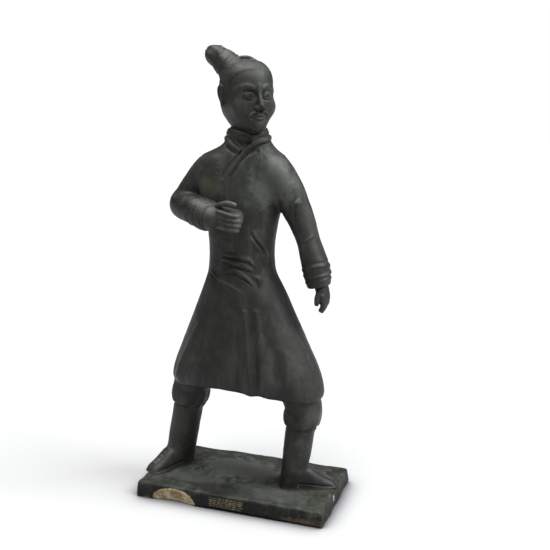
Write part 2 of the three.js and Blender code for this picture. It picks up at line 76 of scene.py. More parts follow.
# Limbs: x, y, z, half width, half depth.
LEFT_SLEEVE = [
    [14, 3, 356, 20, 24], [28, 4, 358, 18.5, 22], [41, 5, 351.5, 17.5, 20], [53, 6, 334.5, 15.8, 18],
    [61, 6.5, 317, 14.8, 16], [67.8, 6, 303, 13.4, 15], [74.6, 5, 284, 11.8, 14.5],
    [79.2, 4.5, 269, 13, 15.5], [83.2, 4, 255, 14.2, 16], [85.2, 4, 243.5, 12.8, 14.5],
]
LEFT_INSIDE = 180  # the angle round the left sleeve that faces the skirt, where its folds run thin
RIGHT_UPPER = [
    [-4, 1, 354, 20, 24], [-17, 1, 357, 18.5, 22.5], [-30, 1, 353.5, 17.5, 20.5], [-43, 1, 339.5, 16.8, 18.5],
    [-54.5, 0, 324.5, 16, 16.5], [-60, -4, 315, 12, 13],
]
RIGHT_SLEEVE = [
    [-64, 1, 322, 9, 9], [-58, -7, 319, 15, 15], [-44, -20, 316.5, 14.4, 14.6], [-30, -30, 314, 13.6, 14.2],
    [-19, -36, 312, 13.8, 14.4], [-12, -39.5, 311, 12, 12.4],
]
# Each leg: its joints, the trousers' half width and their tie's height, the shin's half widths above and
# below, the shoe from heel to toe, its laces as shares of that and how far aside, and a ridge's place.
LEGS = {
    "right": {"hip": [-56, 7, 130], "knee": [-68, 9, 96], "ankle": [-83.2, 6], "bag": 21, "tie": 97,
              "shin": [16.6, 16.2], "heel": [-73, 15], "toe": [-102, -31],
              "laces": (0.55, 0.63, 0.71, 0.79, 0.87), "lace_sides": (-5, 1.5), "ridge": None},
    "left": {"hip": [64, -1, 130], "knee": [68.8, -2, 94], "ankle": [59, -5.5], "bag": 20, "tie": 91,
             "shin": [15.8, 14.3], "heel": [48, -11], "toe": [104, 9],
             "laces": (0.68, 0.75, 0.82), "lace_sides": (0.5, 6), "ridge": -1.5},
}
# A shoe's half widths, and the heights of its top.
SHOE = {"heel": 11.5, "ball": 13, "toe": 8.5, "heel_height": 9, "ankle_height": 25, "toe_height": 6.5}
HEAD = {"x": 12.5, "yaw": 48, "half_width": 26, "front": 30, "back": 30, "chin": 392.5, "crown": 464}
# Head by height from 0 at the chin to 1 at the crown: shares of the half width, front and back.
SKULL = [
    [0, 0.22, 0.5, 0.2], [0.05, 0.5, 0.84, 0.45], [0.14, 0.72, 0.93, 0.68], [0.26, 0.88, 0.93, 0.86],
    [0.4, 0.97, 0.92, 0.96], [0.55, 1, 0.91, 1], [0.7, 0.98, 0.88, 1], [0.82, 0.89, 0.77, 0.94],
    [0.91, 0.7, 0.57, 0.76], [0.97, 0.42, 0.32, 0.46], [1, 0.1, 0.08, 0.1],
]


# ---- Numbers ----
def smoothstep(low, high, x):
    t = np.clip((x - low) / (high - low), 0, 1)
    return t * t * (3 - 2 * t)


def bump(x, width):
    return np.exp(-((x / width) ** 2))


def wrap(degrees):
    return (degrees + 540) % 360 - 180


def dense(rows, per_row):
    """A station table filled in along a Catmull-Rom spline."""
    rows = np.asarray(rows, float)
    padded = np.vstack([rows[:1], rows, rows[-1:]])
    t = np.linspace(0, 1, per_row, endpoint=False)[:, None]
    parts = []
    for p0, p1, p2, p3 in zip(padded, padded[1:], padded[2:], padded[3:]):
        slope1, slope2 = (p2 - p0) / 2, (p3 - p1) / 2
        cubic, square = 2 * p1 - 2 * p2 + slope1 + slope2, -3 * p1 + 3 * p2 - 2 * slope1 - slope2
        parts.append(((cubic * t + square) * t + slope1) * t + p1)
    return np.vstack(parts + [rows[-1:]])


def unit(vector):
    return vector / np.linalg.norm(vector)


def cos_sin(degrees):
    return math.cos(math.radians(degrees)), math.sin(math.radians(degrees))


def lumps(points, size, seed):
    """Smooth random lumps between -1 and 1 at each point, about `size` across."""
    lattice = np.random.default_rng(seed).uniform(-1, 1, (32, 32, 32)).astype(np.float32)
    place = points / size + 1000
    cell = np.floor(place).astype(int)
    share = place - cell
    share = share * share * (3 - 2 * share)
    total = 0
    for corner in np.ndindex(2, 2, 2):
        weight = np.prod(np.where(corner, share, 1 - share), axis=1)
        total = total + weight * lattice[tuple(((cell + corner) % 32).T)]
    return total


# ---- Clay ----
def soft_min(a, b, soft):
    """The lesser of two distances, with a fillet about `soft` wide where they meet."""
    blend = np.maximum(soft - np.abs(a - b), 0) / soft
    return np.minimum(a, b) - blend * blend * soft / 4


def soft_max(a, b, soft):
    return -soft_min(-a, -b, soft)


class Clay:
    """A block of clay on a grid whose lines lie at xs, ys and zs."""

    def __init__(self, xs, ys, zs):
        self.axes = [np.asarray(a, np.float32) for a in (xs, ys, zs)]
        self.field = np.full([len(a) for a in self.axes], FAR, np.float32)

    def work(self, low, high):
        """The part of the field between two corners, and its coordinates."""
        spans = []
        for axis, a, b in zip(self.axes, low, high):
            first = max(0, np.searchsorted(axis, a) - 1)
            spans.append(slice(first, np.searchsorted(axis, b) + 1))
        x, y, z = (axis[span] for axis, span in zip(self.axes, spans))
        return tuple(spans), x[:, None, None], y[None, :, None], z[None, None, :]

    def add(self, shape, soft=2.0):
        """Joins a shape on, with a fillet about `soft` wide."""
        make, low, high = shape
        spans, x, y, z = self.work(low - soft - 4, high + soft + 4)
        self.field[spans] = soft_min(self.field[spans], make(x, y, z), soft)

    def cut(self, shape, soft=1.0):
        """Carves a shape away, with an edge about `soft` wide."""
        make, low, high = shape
        spans, x, y, z = self.work(low - soft - 1, high + soft + 1)
        self.field[spans] = soft_max(self.field[spans], -make(x, y, z), soft)

    def put(self, shape, soft, cut):
        """Joins a shape on, or carves it away where cut is set."""
        if cut:
            self.cut(shape, soft)
        else:
            self.add(shape, soft)

    def sample(self, values, points):
        """Grid values at points, by straight interpolation."""
        total = 0
        cells, shares = [], []
        for axis, column in zip(self.axes, points.T):
            place = np.interp(column, axis, np.arange(len(axis)))
            cell = np.clip(place.astype(int), 0, len(axis) - 2)
            cells.append(cell)
            shares.append(place - cell)
        for corner in np.ndindex(2, 2, 2):
            weight = 1
            for side, share in zip(corner, shares):
                weight = weight * (share if side else 1 - share)
            total = total + weight * values[tuple(cell + side for cell, side in zip(cells, corner))]
        return total

    def slope(self, points, step=0.5):
        """Outward unit normals at points."""
        sides = []
        for k in range(3):
            move = np.zeros(3)
            move[k] = step
            sides.append(self.sample(self.field, points + move) - self.sample(self.field, points - move))
        normal = np.stack(sides, 1)
        return normal / np.maximum(np.linalg.norm(normal, axis=1, keepdims=True), 1e-6)

    def surface(self):
        """Vertices and quads of the clay's skin: one vertex in each cell that the skin passes through."""
        f = self.field
        inside = f < 0
        count = np.zeros([n - 1 for n in f.shape], np.uint8)
        for i, j, k in np.ndindex(2, 2, 2):
            count += inside[i:, j:, k:][: count.shape[0], : count.shape[1], : count.shape[2]]
        cells = np.argwhere((count > 0) & (count < 8))
        corner = {c: f[tuple((cells + c).T)] for c in np.ndindex(2, 2, 2)}
        total = np.zeros(cells.shape)
        crossings = np.zeros(len(cells))
        for c in np.ndindex(2, 2, 2):
            for k in range(3):
                if c[k]:
                    continue
                d = tuple(1 if n == k else c[n] for n in range(3))
                a, b = corner[c], corner[d]
                crosses = (a < 0) != (b < 0)
                share = np.where(crosses, a / np.where(crosses, a - b, 1), 0)
                place = np.tile(np.array(c, float), (len(cells), 1))
                place[:, k] = share
                total += place * crosses[:, None]
                crossings += crosses
        place = cells + total / crossings[:, None]
        points = np.stack([np.interp(place[:, k], np.arange(len(a)), a) for k, a in enumerate(self.axes)], 1)
        number = np.full(count.shape, -1, np.int32)
        number[tuple(cells.T)] = np.arange(len(cells))
        quads = []
        for k in range(3):
            first = [slice(None)] * 3
            second = [slice(None)] * 3
            first[k], second[k] = slice(None, -1), slice(1, None)
            a, b = inside[tuple(first)], inside[tuple(second)]
            edges = np.argwhere(a != b)
            leaving = a[tuple(edges.T)]
            u, v = [n for n in range(3) if n != k]
            step_u, step_v = np.zeros(3, int), np.zeros(3, int)
            step_u[u], step_v[v] = 1, 1
            ring = [edges - step_u - step_v, edges - step_v, edges, edges - step_u]
            quad = np.stack([number[tuple(r.T)] for r in ring], 1)
            flip = leaving if k == 1 else ~leaving
            quad[flip] = quad[flip][:, ::-1]
            quads.append(quad)
        return points, np.vstack(quads)


def spaced(parts):
    """Grid lines over stretches of (start, end, spacing), joined end to end."""
    lines = [np.arange(start, end, step) for start, end, step in parts]
    return np.concatenate(lines + [[parts[-1][1]]])


def settle(values, x, y, z):
    """Scales a field so that it grows by about 1 per millimetre."""
    rates = np.gradient(values, x.ravel(), y.ravel(), z.ravel())
    steep = np.sqrt(sum(rate * rate for rate in rates))
    return (values / np.clip(steep, 0.3, 4)).astype(np.float32)


# ---- Shapes: each is (function of x, y and z, lowest corner, highest corner) ----
def tube(rows, reference=(0, 1, 0), per_row=4, relief=None):
    """A tube through stations of x, y, z and two half widths. relief(share, angle) raises its skin."""
    stations = dense(rows, per_row)
    reference = np.asarray(reference, float)
    widest = stations[:, 3:5].max()
    total = len(stations) - 1

    def make(x, y, z):
        best = np.full(np.broadcast_shapes(x.shape, y.shape, z.shape), FAR, np.float32)
        for i, (a, b) in enumerate(zip(stations, stations[1:])):
            line = b[:3] - a[:3]
            length = np.linalg.norm(line)
            if length < 1e-6:
                continue
            along = line / length
            side = unit(np.cross(along, reference))
            up = np.cross(side, along)
            dx, dy, dz = x - a[0], y - a[1], z - a[2]
            t = np.clip((dx * along[0] + dy * along[1] + dz * along[2]) / length, 0, 1)
            dx, dy, dz = dx - t * line[0], dy - t * line[1], dz - t * line[2]
            wide, deep = a[3] + t * (b[3] - a[3]), a[4] + t * (b[4] - a[4])
            s = dx * side[0] + dy * side[1] + dz * side[2]
            u = dx * up[0] + dy * up[1] + dz * up[2]
            w = dx * along[0] + dy * along[1] + dz * along[2]
            far = np.sqrt(s * s + u * u + w * w)
            share = np.sqrt((s / wide) ** 2 + (u / deep) ** 2 + (w / np.minimum(wide, deep)) ** 2)
            away = far - far / np.maximum(share, 1e-3)
            if relief is not None:
                away = away - relief((i + t) / total, np.arctan2(u / deep, s / wide))
            best = np.minimum(best, away)
        return best

    return make, stations[:, :3].min(0) - widest, stations[:, :3].max(0) + widest


def stroke(rows, per_row=4):
    """A round stroke through rows of x, y, z and radius."""
    rows = [[*row[:3], row[3], row[3]] for row in np.asarray(rows, float)]
    spread = np.ptp(np.array(rows)[:, :3], axis=0)
    reference = np.eye(3)[int(np.argmin(spread))] + 0.1
    return tube(rows, reference, per_row)


def lump(centre, radii, turn=0.0):
    """An ellipsoid turned about Z by degrees."""
    c, s = cos_sin(turn)
    centre, radii = np.asarray(centre, float), np.asarray(radii, float)

    def make(x, y, z):
        dx, dy, dz = x - centre[0], y - centre[1], z - centre[2]
        u, v = dx * c + dy * s, -dx * s + dy * c
        share = np.sqrt((u / radii[0]) ** 2 + (v / radii[1]) ** 2 + (dz / radii[2]) ** 2)
        slope = np.sqrt((u / radii[0] ** 2) ** 2 + (v / radii[1] ** 2) ** 2 + (dz / radii[2] ** 2) ** 2)
        return (share * (share - 1) / np.maximum(slope, 1e-6)).astype(np.float32)

    return make, centre - radii.max(), centre + radii.max()


# ---- The robe ----
ROBE_TABLE = dense(ROBE, 24)[::-1]


def robe_row(height):
    return [np.interp(height, ROBE_TABLE[:, 0], ROBE_TABLE[:, k]) for k in range(1, 7)]


def sag(x, height):
    """How far the hanging cloth drops below its station, more towards the sides."""
    return smoothstep(HEM["from"], HEM["middle"], height) * HEM["droop"] * (x - HEM["centre"]) ** 2


def pleat(angle, height):
    """How far the skirt's long folds stand out."""
    hang = smoothstep(HEM["from"] - 10, HEM["middle"] + 10, height)
    return hang * sum(rise * bump(wrap(angle - centre), width) for centre, width, rise in PLEATS)


def on_robe(angle, height, lift=0.0):
    """A point of the robe at an angle from its front, in degrees, and a station height."""
    x, y, wide, deep, yaw, square = robe_row(height)
    ahead, across = (np.sign(value) * abs(value) ** (2 / square) for value in cos_sin(angle))
    rise = lift + pleat(angle, height)
    across, ahead = across * (wide + rise), ahead * (deep + rise)
    c, s = cos_sin(yaw)
    px = x + across * c + ahead * s
    return [px, y + across * s - ahead * c, height - sag(px, height)]


def robe(x, y, z):
    """The robe's field, with its long folds and a hem that hangs lower at the sides."""
    height = z + np.zeros_like(x)
    for _ in range(5):
        height = z + sag(x, height)
    cx, cy, wide, deep, yaw, square = (v.astype(np.float32) for v in robe_row(height))
    c, s = np.cos(np.radians(yaw)), np.sin(np.radians(yaw))
    dx, dy = x - cx, y - cy
    across, ahead = dx * c + dy * s, dx * s - dy * c
    share_u, share_v = np.abs(across) / wide, np.abs(ahead) / deep
    share = (share_u**square + share_v**square) ** (1 / square)
    far = np.hypot(across, ahead)
    away = far - far / np.maximum(share, 1e-3)
    near = np.abs(away) < 14
    power = np.broadcast_to(square / 2, away.shape)[near]
    angle = np.degrees(
        np.arctan2(
            np.sign(across[near]) * share_u[near] ** power,
            np.sign(ahead[near]) * share_v[near] ** power,
        )
    )
    away[near] -= pleat(angle, np.broadcast_to(height, away.shape)[near])
    away = settle(away, x, y, z)
    waver = 0.7 * np.sin(x / 6.5 + 1.6 * np.sin(y / 9)) + 0.5 * np.sin(x / 17 - y / 12)
    ends = np.maximum(ROBE_TABLE[0, 0] + waver - height, height - ROBE_TABLE[-1, 0])
    return soft_max(away, ends.astype(np.float32), 5)


def fold(clay, rows, sink=0.35, soft=2.2, cut=False):
    """A fold along rows of angle, height and half width on the robe, or a groove where cut is set.

    sink is the share of its half width that it lies under the skin.
    """
    path = [[*on_robe(angle, height, -size * sink), size] for angle, height, size in rows]
    clay.put(stroke(path), soft, cut)


def carve_robe(clay):
    low, high = np.array([-92, -52, HEM["middle"] - 14]), np.array([104, 52, 393])
    clay.add((robe, low, high), 1)


# ---- From clay to mesh ----
def make_mesh(name, clay, target, undulation, seed):
    """A mesh of a block of clay: its skin pulled onto the field, made uneven and thinned to `target` faces.

    undulation holds the size and the height of each layer of lumps.
    """
    points, quads = clay.surface()
    for _ in range(2):
        points -= clay.slope(points) * np.clip(clay.sample(clay.field, points), -0.6, 0.6)[:, None]
    normals = clay.slope(points)
    for size, height in undulation:
        points += normals * (height * lumps(points, size, seed))[:, None]
        seed += 1
    points[:, 2] = np.maximum(points[:, 2], 0)
    mesh = bpy.data.meshes.new(name)
    mesh.vertices.add(len(points))
    mesh.vertices.foreach_set("co", (points * MM).astype(np.float32).ravel())
    mesh.loops.add(quads.size)
    mesh.loops.foreach_set("vertex_index", quads.astype(np.int32).ravel())
    mesh.polygons.add(len(quads))
    mesh.polygons.foreach_set("loop_start", np.arange(0, quads.size, 4, dtype=np.int32))
    mesh.update(calc_edges=True)
    mesh.validate()
    piece = bpy.data.objects.new(name, mesh)
    bpy.context.scene.collection.objects.link(piece)
    thin = piece.modifiers.new("thin", "DECIMATE")
    thin.ratio = min(1.0, target / (2 * len(quads)))
    graph = bpy.context.evaluated_depsgraph_get()
    thinned = bpy.data.meshes.new_from_object(piece.evaluated_get(graph))
    piece.modifiers.clear()
    piece.data = thinned
    thinned.shade_smooth()
    return piece


# ---- Scarf and collar ----
# The scarf: its middle, radius and half thickness, its height at the sides and in front, and its turn.
NECK = {"x": 12.6, "scarf": 15.5, "thick": 6, "side": 392, "front": 389.5, "yaw": 22}


def around_neck(radius, rise, size):
    """A closed stroke round the neck, lower at the front."""
    rows = []
    for angle in np.linspace(0, 360, 19):
        c, s = cos_sin(angle + NECK["yaw"])
        height = NECK["side"] + rise + (NECK["front"] - NECK["side"]) * bump(wrap(angle), 50)
        rows.append([NECK["x"] + radius * s, -radius * c, height, size])
    return stroke(rows, 3)


def dress_neck(clay):
    clay.add(around_neck(NECK["scarf"], 0, NECK["thick"]), 1.5)
    clay.add(around_neck(NECK["scarf"] + 1.5, -5.2, 3.4), 1.2)
    clay.cut(around_neck(NECK["scarf"] + 6.4, -2.6, 0.9), 1.2)
    clay.cut(around_neck(NECK["scarf"] + 5.8, 2.6, 0.6), 1.2)
    collar = [
        (-8, 375.5, 2), (-30, 380, 2.8), (-60, 385, 3), (-110, 387.5, 2.8), (-180, 388, 2.6),
        (-250, 387.5, 2.6), (-300, 385.5, 2.6), (-330, 383.5, 2.6), (-350, 379, 2.6), (-363, 370, 2.4),
        (-372, 358, 2.2), (-381, 347, 1.2),
    ]
    clay.cut(lump(on_robe(-10, 384.5, 1.6), (9, 4, 6.5), 20), 2.5)
    fold(clay, collar, 0.1, 1.8)
    fold(clay, [(-58, 389.5, 1.6), (-26, 383.6, 1.8), (-8, 378, 1.4)], 0.1, 1.2)
    fold(clay, [(-62, 382.4, 0.8), (-30, 376.6, 1), (-13, 373, 0.8)], 0, 1.4, cut=True)
    under = [(66, 383, 0.8), (38, 381.6, 1), (16, 377.4, 1.1), (3, 370.6, 1), (-6, 360, 0.9), (-14, 350, 0.5)]
    fold(clay, under, 0, 1.6, cut=True)
    fold(clay, [(20, 372, 1.6), (7, 367.2, 2), (0, 361.6, 2), (-4, 355.6, 1.8), (-10, 348.6, 1)], 0.4, 2)
    fold(clay, [(-4, 374, 0.9), (-10, 366, 1.1), (-18, 357, 1), (-24, 349, 0.5)], 0, 1.8, cut=True)


# ---- Arms ----
def on_tube(rows, share, angle, lift=0.0, reference=(0, 1, 0)):
    """A point on the skin of a tube, at a share of its length and an angle in degrees."""
    stations = dense(rows, 8)
    place = share * (len(stations) - 1)
    i = min(int(place), len(stations) - 2)
    a, b = stations[i], stations[i + 1]
    along = unit(b[:3] - a[:3])
    side = unit(np.cross(along, reference))
    up = np.cross(side, along)
    at = a + (place - i) * (b - a)
    c, s = cos_sin(angle)
    return at[:3] + side * (at[3] + lift) * c + up * (at[4] + lift) * s


def crease(clay, rows, path, reference=(0, 1, 0), sink=0.4, soft=1.6, cut=False):
    """A fold, or a groove where cut is set, along shares and angles of a sleeve, with its half width."""
    points = [[*on_tube(rows, share, angle, -size * sink, reference), size] for share, angle, size in path]
    clay.put(stroke(points), soft, cut)


def gathers(clay, rows, places, reference=(0, 1, 0), slant=0.012, size=1.5, thin=(180, 0)):
    """Ring folds of a pushed-up sleeve, with a groove above each, wandering a little round the arm.

    thin is the angle where the folds are thinnest, and by how much of their size.
    """
    for n, place in enumerate(places):
        ring = [
            (place + slant * math.sin(math.radians(angle + 140 * n)), angle,
             size * (1 - thin[1] * bump(wrap(angle - thin[0]), 70)))
            for angle in range(0, 361, 30)
        ]
        crease(clay, rows, ring, reference, 0.35, 1.8)
        groove = [(share - 0.026, angle, ring_size * 0.55) for share, angle, ring_size in ring]
        crease(clay, rows, groove, reference, -0.1, 1.2, cut=True)


def finger(clay, points, thick):
    last = len(points) - 1
    rows = [[*point, thick * (0.82 if i == last else 1)] for i, point in enumerate(points)]
    clay.add(stroke(rows), 0.9)


def left_arm(clay):
    clay.add(tube(LEFT_SLEEVE), 5)
    clay.cut(tube([[85.8, 3.8, 245.5, 9.4, 11], [86.4, 3.8, 238, 10.4, 12]]), 2)
    gathers(clay, LEFT_SLEEVE, [0.868, 0.923, 0.985], size=0.95, thin=(LEFT_INSIDE, 0.6))
    knob = [(0.403, 322, 0.6), (0.405, 309, 1.4), (0.411, 295, 1.1), (0.425, 280, 0.6)]
    crease(clay, LEFT_SLEEVE, knob, soft=1.2)
    hollow = [(0.425, 294, 0.6), (0.455, 282, 1), (0.5, 269, 1), (0.54, 262, 0.5)]
    crease(clay, LEFT_SLEEVE, hollow, sink=-0.2, soft=2, cut=True)
    crease(clay, LEFT_SLEEVE, [(0.656, 252, 0.5), (0.661, 274, 1), (0.653, 300, 1), (0.645, 318, 0.5)])
    palm = [[86.4, 4, 250, 6, 8], [89, 3.5, 237, 6.8, 9], [91.2, 3, 229, 6.4, 9.5], [92, 2, 223, 5.2, 9]]
    clay.add(tube(palm), 1.5)
    for i, tip in enumerate([215.5, 213, 212.5, 214.5]):
        y = 8.5 - 4.5 * i
        finger(clay, [[91.6, y, 230], [92.8, y - 0.4, 220], [90.6, y - 0.8, tip + 1]], 2.7)
    finger(clay, [[89, -3, 236], [87.6, -7, 228.5], [87.2, -8, 222.5]], 3)


def right_arm(clay):
    up = (0, 0, 1)
    clay.add(tube(RIGHT_UPPER), 5)
    clay.add(tube(RIGHT_SLEEVE, up), 4)
    wrist = [(0.985, angle, 0.9) for angle in range(0, 361, 30)]
    crease(clay, RIGHT_SLEEVE, wrist, up, -0.3, 1.2, cut=True)
    gathers(clay, RIGHT_SLEEVE, [0.58, 0.675, 0.765, 0.85, 0.93], up, 0.022, 1.2)
    palm = [
        [-18, -34, 311, 8.5, 9.5], [-9, -36.5, 311.5, 10, 10.5], [-3, -37, 311.5, 10.5, 10.5],
        [4, -36, 310.5, 9.8, 11], [11, -33, 310, 8.5, 9],
    ]
    clay.add(tube(palm), 1.5)
    for i, reach in enumerate([16.2, 17.6, 17.2, 15.4]):
        z = 317.8 - 4.6 * i
        tip = [[reach, -41.5, z - 4.6], [reach - 2, -34.5, z - 5.4]]
        finger(clay, [[-3, -44.4, z], [10, -45.2, z - 3.2], *tip], 2.5)
    for i in range(3):
        z = 315.4 - 4.6 * i
        clay.cut(stroke([[0, -47.2, z, 0.5], [10, -48, z - 3.2, 0.8], [18, -45, z - 4.6, 0.8]]), 0.8)
    clay.cut(stroke([[12.6, -47.8, 313, 0.4], [13.4, -47.8, 306, 0.5], [12.6, -47.4, 299, 0.4]]), 1)
    finger(clay, [[-12, -38.5, 317.5], [-2, -41.5, 324], [7, -42, 326.2], [13.6, -40.5, 324.6]], 2.6)


# ---- Legs and shoes ----
def ring_round(centre, radius, size, waver):
    """A closed level stroke round an upright limb."""
    rows = []
    for angle in np.linspace(0, 2 * math.pi, 17):
        x = centre[0] + radius * math.cos(angle)
        y = centre[1] + radius * math.sin(angle)
        z = centre[2] + waver * math.sin(angle - 2) + 0.4 * waver * math.sin(3 * angle)
        rows.append([x, y, z, size])
    return stroke(rows, 3)


def leg(clay, spec):
    knee, ankle = np.array(spec["knee"], float), np.array([*spec["ankle"], SOLES])
    tie, bag = spec["tie"], spec["bag"]

    def at(z):
        share = (knee[2] - z) / (knee[2] - ankle[2])
        return [*(knee + share * (ankle - knee))[:2], z]

    top, foot = spec["shin"]
    trouser = [
        [*spec["hip"], bag + 1, bag + 1], [*at(tie + 17), bag - 0.5, bag - 0.5], [*at(tie + 7), bag, bag],
        [*at(tie + 1), top + 1.4, top + 1.4],
    ]

    def hang(share, angle):
        return 0.8 * smoothstep(0.3, 0.6, share) * np.cos(6 * angle + 2 * np.sin(angle) + 5 * share)

    clay.add(tube(trouser, relief=hang), 2.5)
    middle = top * 0.6 + foot * 0.4
    shin = [
        [*at(tie + 6), top, top], [*at(62), middle, middle], [*at(38), foot, foot],
        [*at(SOLES + 2), foot, foot], [*at(SOLES - 6), foot, foot],
    ]
    clay.add(tube(shin), 1.2)
    clay.add(ring_round(at(tie - 1.5), top + 0.1, 1.7, 1.1), 1.4)
    clay.cut(ring_round(at(tie - 4.6), top + 0.9, 1, 1.1), 2.6)


def shoe(clay, spec):
    heel, toe = np.array(spec["heel"], float), np.array(spec["toe"], float)
    length = np.linalg.norm(toe - heel)
    along = (toe - heel) / length
    across = np.array([-along[1], along[0]])

    def profile(share):
        """The half width and the height of the top at a share of the length."""
        wide = np.interp(share, [0, 0.25, 0.6, 0.85, 1], [SHOE["heel"], 12.4, SHOE["ball"], 11, SHOE["toe"]])
        fall = SHOE["toe_height"] - SHOE["ankle_height"]
        instep = SHOE["ankle_height"] + fall * smoothstep(0.35, 1, share)
        tall = SHOE["heel_height"] + (instep - SHOE["heel_height"]) * smoothstep(0, 0.35, share)
        return wide, tall

    def make(x, y, z):
        share = ((x - heel[0]) * along[0] + (y - heel[1]) * along[1]) / length + 0 * z
        side = (x - heel[0]) * across[0] + (y - heel[1]) * across[1] + 0 * z
        wide, tall = profile(share)
        rise = z - SOLES
        out = ((np.abs(side) / wide) ** 2.5 + (np.abs(rise) / tall) ** 2.5) ** 0.4
        far = np.hypot(side, rise)
        away = settle(far - far / np.maximum(out, 1e-3), x, y, z)
        ends = np.maximum(-share, share - 1) * length
        return soft_max(away, ends.astype(np.float32), 7)

    corners = np.array([heel, toe])
    low, high = corners.min(0) - 14, corners.max(0) + 14
    clay.add((make, np.array([*low, SOLES - 8]), np.array([*high, SOLES + 28])), 2.5)

    def on_shoe(share, side, lift=0.0):
        wide, tall = profile(share)
        rise = tall * (1 - (abs(side) / wide) ** 2.5) ** 0.4
        return [*(heel + along * share * length + across * side), SOLES + rise + lift]

    first, last = spec["lace_sides"]
    for n, share in enumerate(spec["laces"]):
        slant = 0.005 if n % 2 else -0.004
        sides = np.linspace(first, last, 5)
        clay.add(stroke([[*on_shoe(share + slant * side, side, 0.3), 0.75] for side in sides], 2), 0.6)
        groove = [[*on_shoe(share + 0.037 + slant * side, side, 0.3), 0.7] for side in sides]
        clay.cut(stroke(groove, 2), 0.6)
    if spec["ridge"] is not None:
        ridge = [[*on_shoe(share, spec["ridge"], 0.2), 0.8] for share in (0.4, 0.6, 0.78, 0.94)]
        clay.add(stroke(ridge, 3), 1.2)
    for side in (-1, 1):
        welt = [[*on_shoe(share, side * profile(share)[0] * 0.985, 0), 0.6] for share in (0.3, 0.5, 0.7, 0.9)]
        clay.cut(stroke(welt, 3), 1)


# ---- Head ----
SKULL_TABLE = dense(SKULL, 8)
HEAD_C, HEAD_S = cos_sin(HEAD["yaw"])
# The hairline's height by angle from the middle of the face.
HAIRLINE = [
    (0, 453), (30, 452), (52, 448), (66, 441), (78, 433), (96, 431), (112, 412), (135, 404), (180, 402),
]
# The bun in the head's own frame: x, y, z and two half widths. The combed hair runs to its root.
BUN = [
    [-6.5, 6, 447.5, 14.5, 14.5], [-10.8, 9.3, 453.3, 13.4, 13.4], [-12.6, 10.8, 456, 13.8, 13.8],
    [-14.2, 12.1, 457.8, 12.4, 12.4], [-16.2, 13.8, 460.2, 12.6, 12.6], [-18, 15.3, 462.2, 11.4, 11.4],
    [-20.2, 17.2, 464.4, 11, 11], [-22.6, 19.2, 466.8, 10.6, 10.6], [-24.8, 21, 468.6, 9.2, 9.2],
    [-26.6, 22.4, 470, 5, 5],
]
BUN_AXIS = unit(np.array([-0.62, 0.44, 0.65]))
BUN_ROOT = np.array([-9, 7.5, 452])


def head_point(x, y, z):
    """A point of the head's own frame (x to the warrior's left, y behind the face) in the part's frame."""
    return [HEAD["x"] + x * HEAD_C - y * HEAD_S, x * HEAD_S + y * HEAD_C, z]


def head_size(z):
    """The half width at a height, and the reach to the front and to the back."""
    level = (z - HEAD["chin"]) / (HEAD["crown"] - HEAD["chin"])
    wide, front, back = (np.interp(level, SKULL_TABLE[:, 0], SKULL_TABLE[:, k]) for k in (1, 2, 3))
    return wide * HEAD["half_width"], front * HEAD["front"], back * HEAD["back"]


def on_face(x, z, lift=0.0):
    wide, front, _ = head_size(z)
    return head_point(x, -front * math.sqrt(max(0, 1 - (x / wide) ** 2)) - lift, z)


def skull(x, y, z):
    """The head's field, with the combed hair standing out from the face."""
    side = (x - HEAD["x"]) * HEAD_C + y * HEAD_S + 0 * z
    behind = -(x - HEAD["x"]) * HEAD_S + y * HEAD_C + 0 * z
    wide, front, back = head_size(z)
    share = np.sqrt((side / wide) ** 2 + (behind / np.where(behind < 0, front, back)) ** 2)
    far = np.hypot(side, behind)
    away = settle(far - far / np.maximum(share, 1e-3), x, y, z)
    angle = np.abs(np.degrees(np.arctan2(side, -behind)))
    line = np.interp(angle, *zip(*HAIRLINE))
    hair = smoothstep(-2, 1.5, z - line)
    above = np.broadcast_to(z - BUN_ROOT[2], side.shape)
    from_root = np.stack([side - BUN_ROOT[0], behind - BUN_ROOT[1], above])
    first = unit(np.cross(BUN_AXIS, [0, 1, 0]))
    second = np.cross(BUN_AXIS, first)
    u, v = np.tensordot(first, from_root, 1), np.tensordot(second, from_root, 1)
    comb = np.cos(58 * np.arctan2(u, v)) * smoothstep(10, 20, np.hypot(u, v))
    away = away - hair * (0.6 + 0.12 * comb)
    ends = np.maximum(z - HEAD["crown"], HEAD["chin"] - z).astype(np.float32) + 0 * away
    return soft_max(away, ends, 4)


def face_stroke(clay, rows, soft, cut=False):
    """A stroke over the face, by rows of across, height, lift and half width, and its mirror image."""
    for side in (1, -1):
        shape = stroke([[*on_face(side * x, z, lift), size] for x, z, lift, size in rows], 3)
        clay.put(shape, soft, cut)
        if all(row[0] == 0 for row in rows):
            break


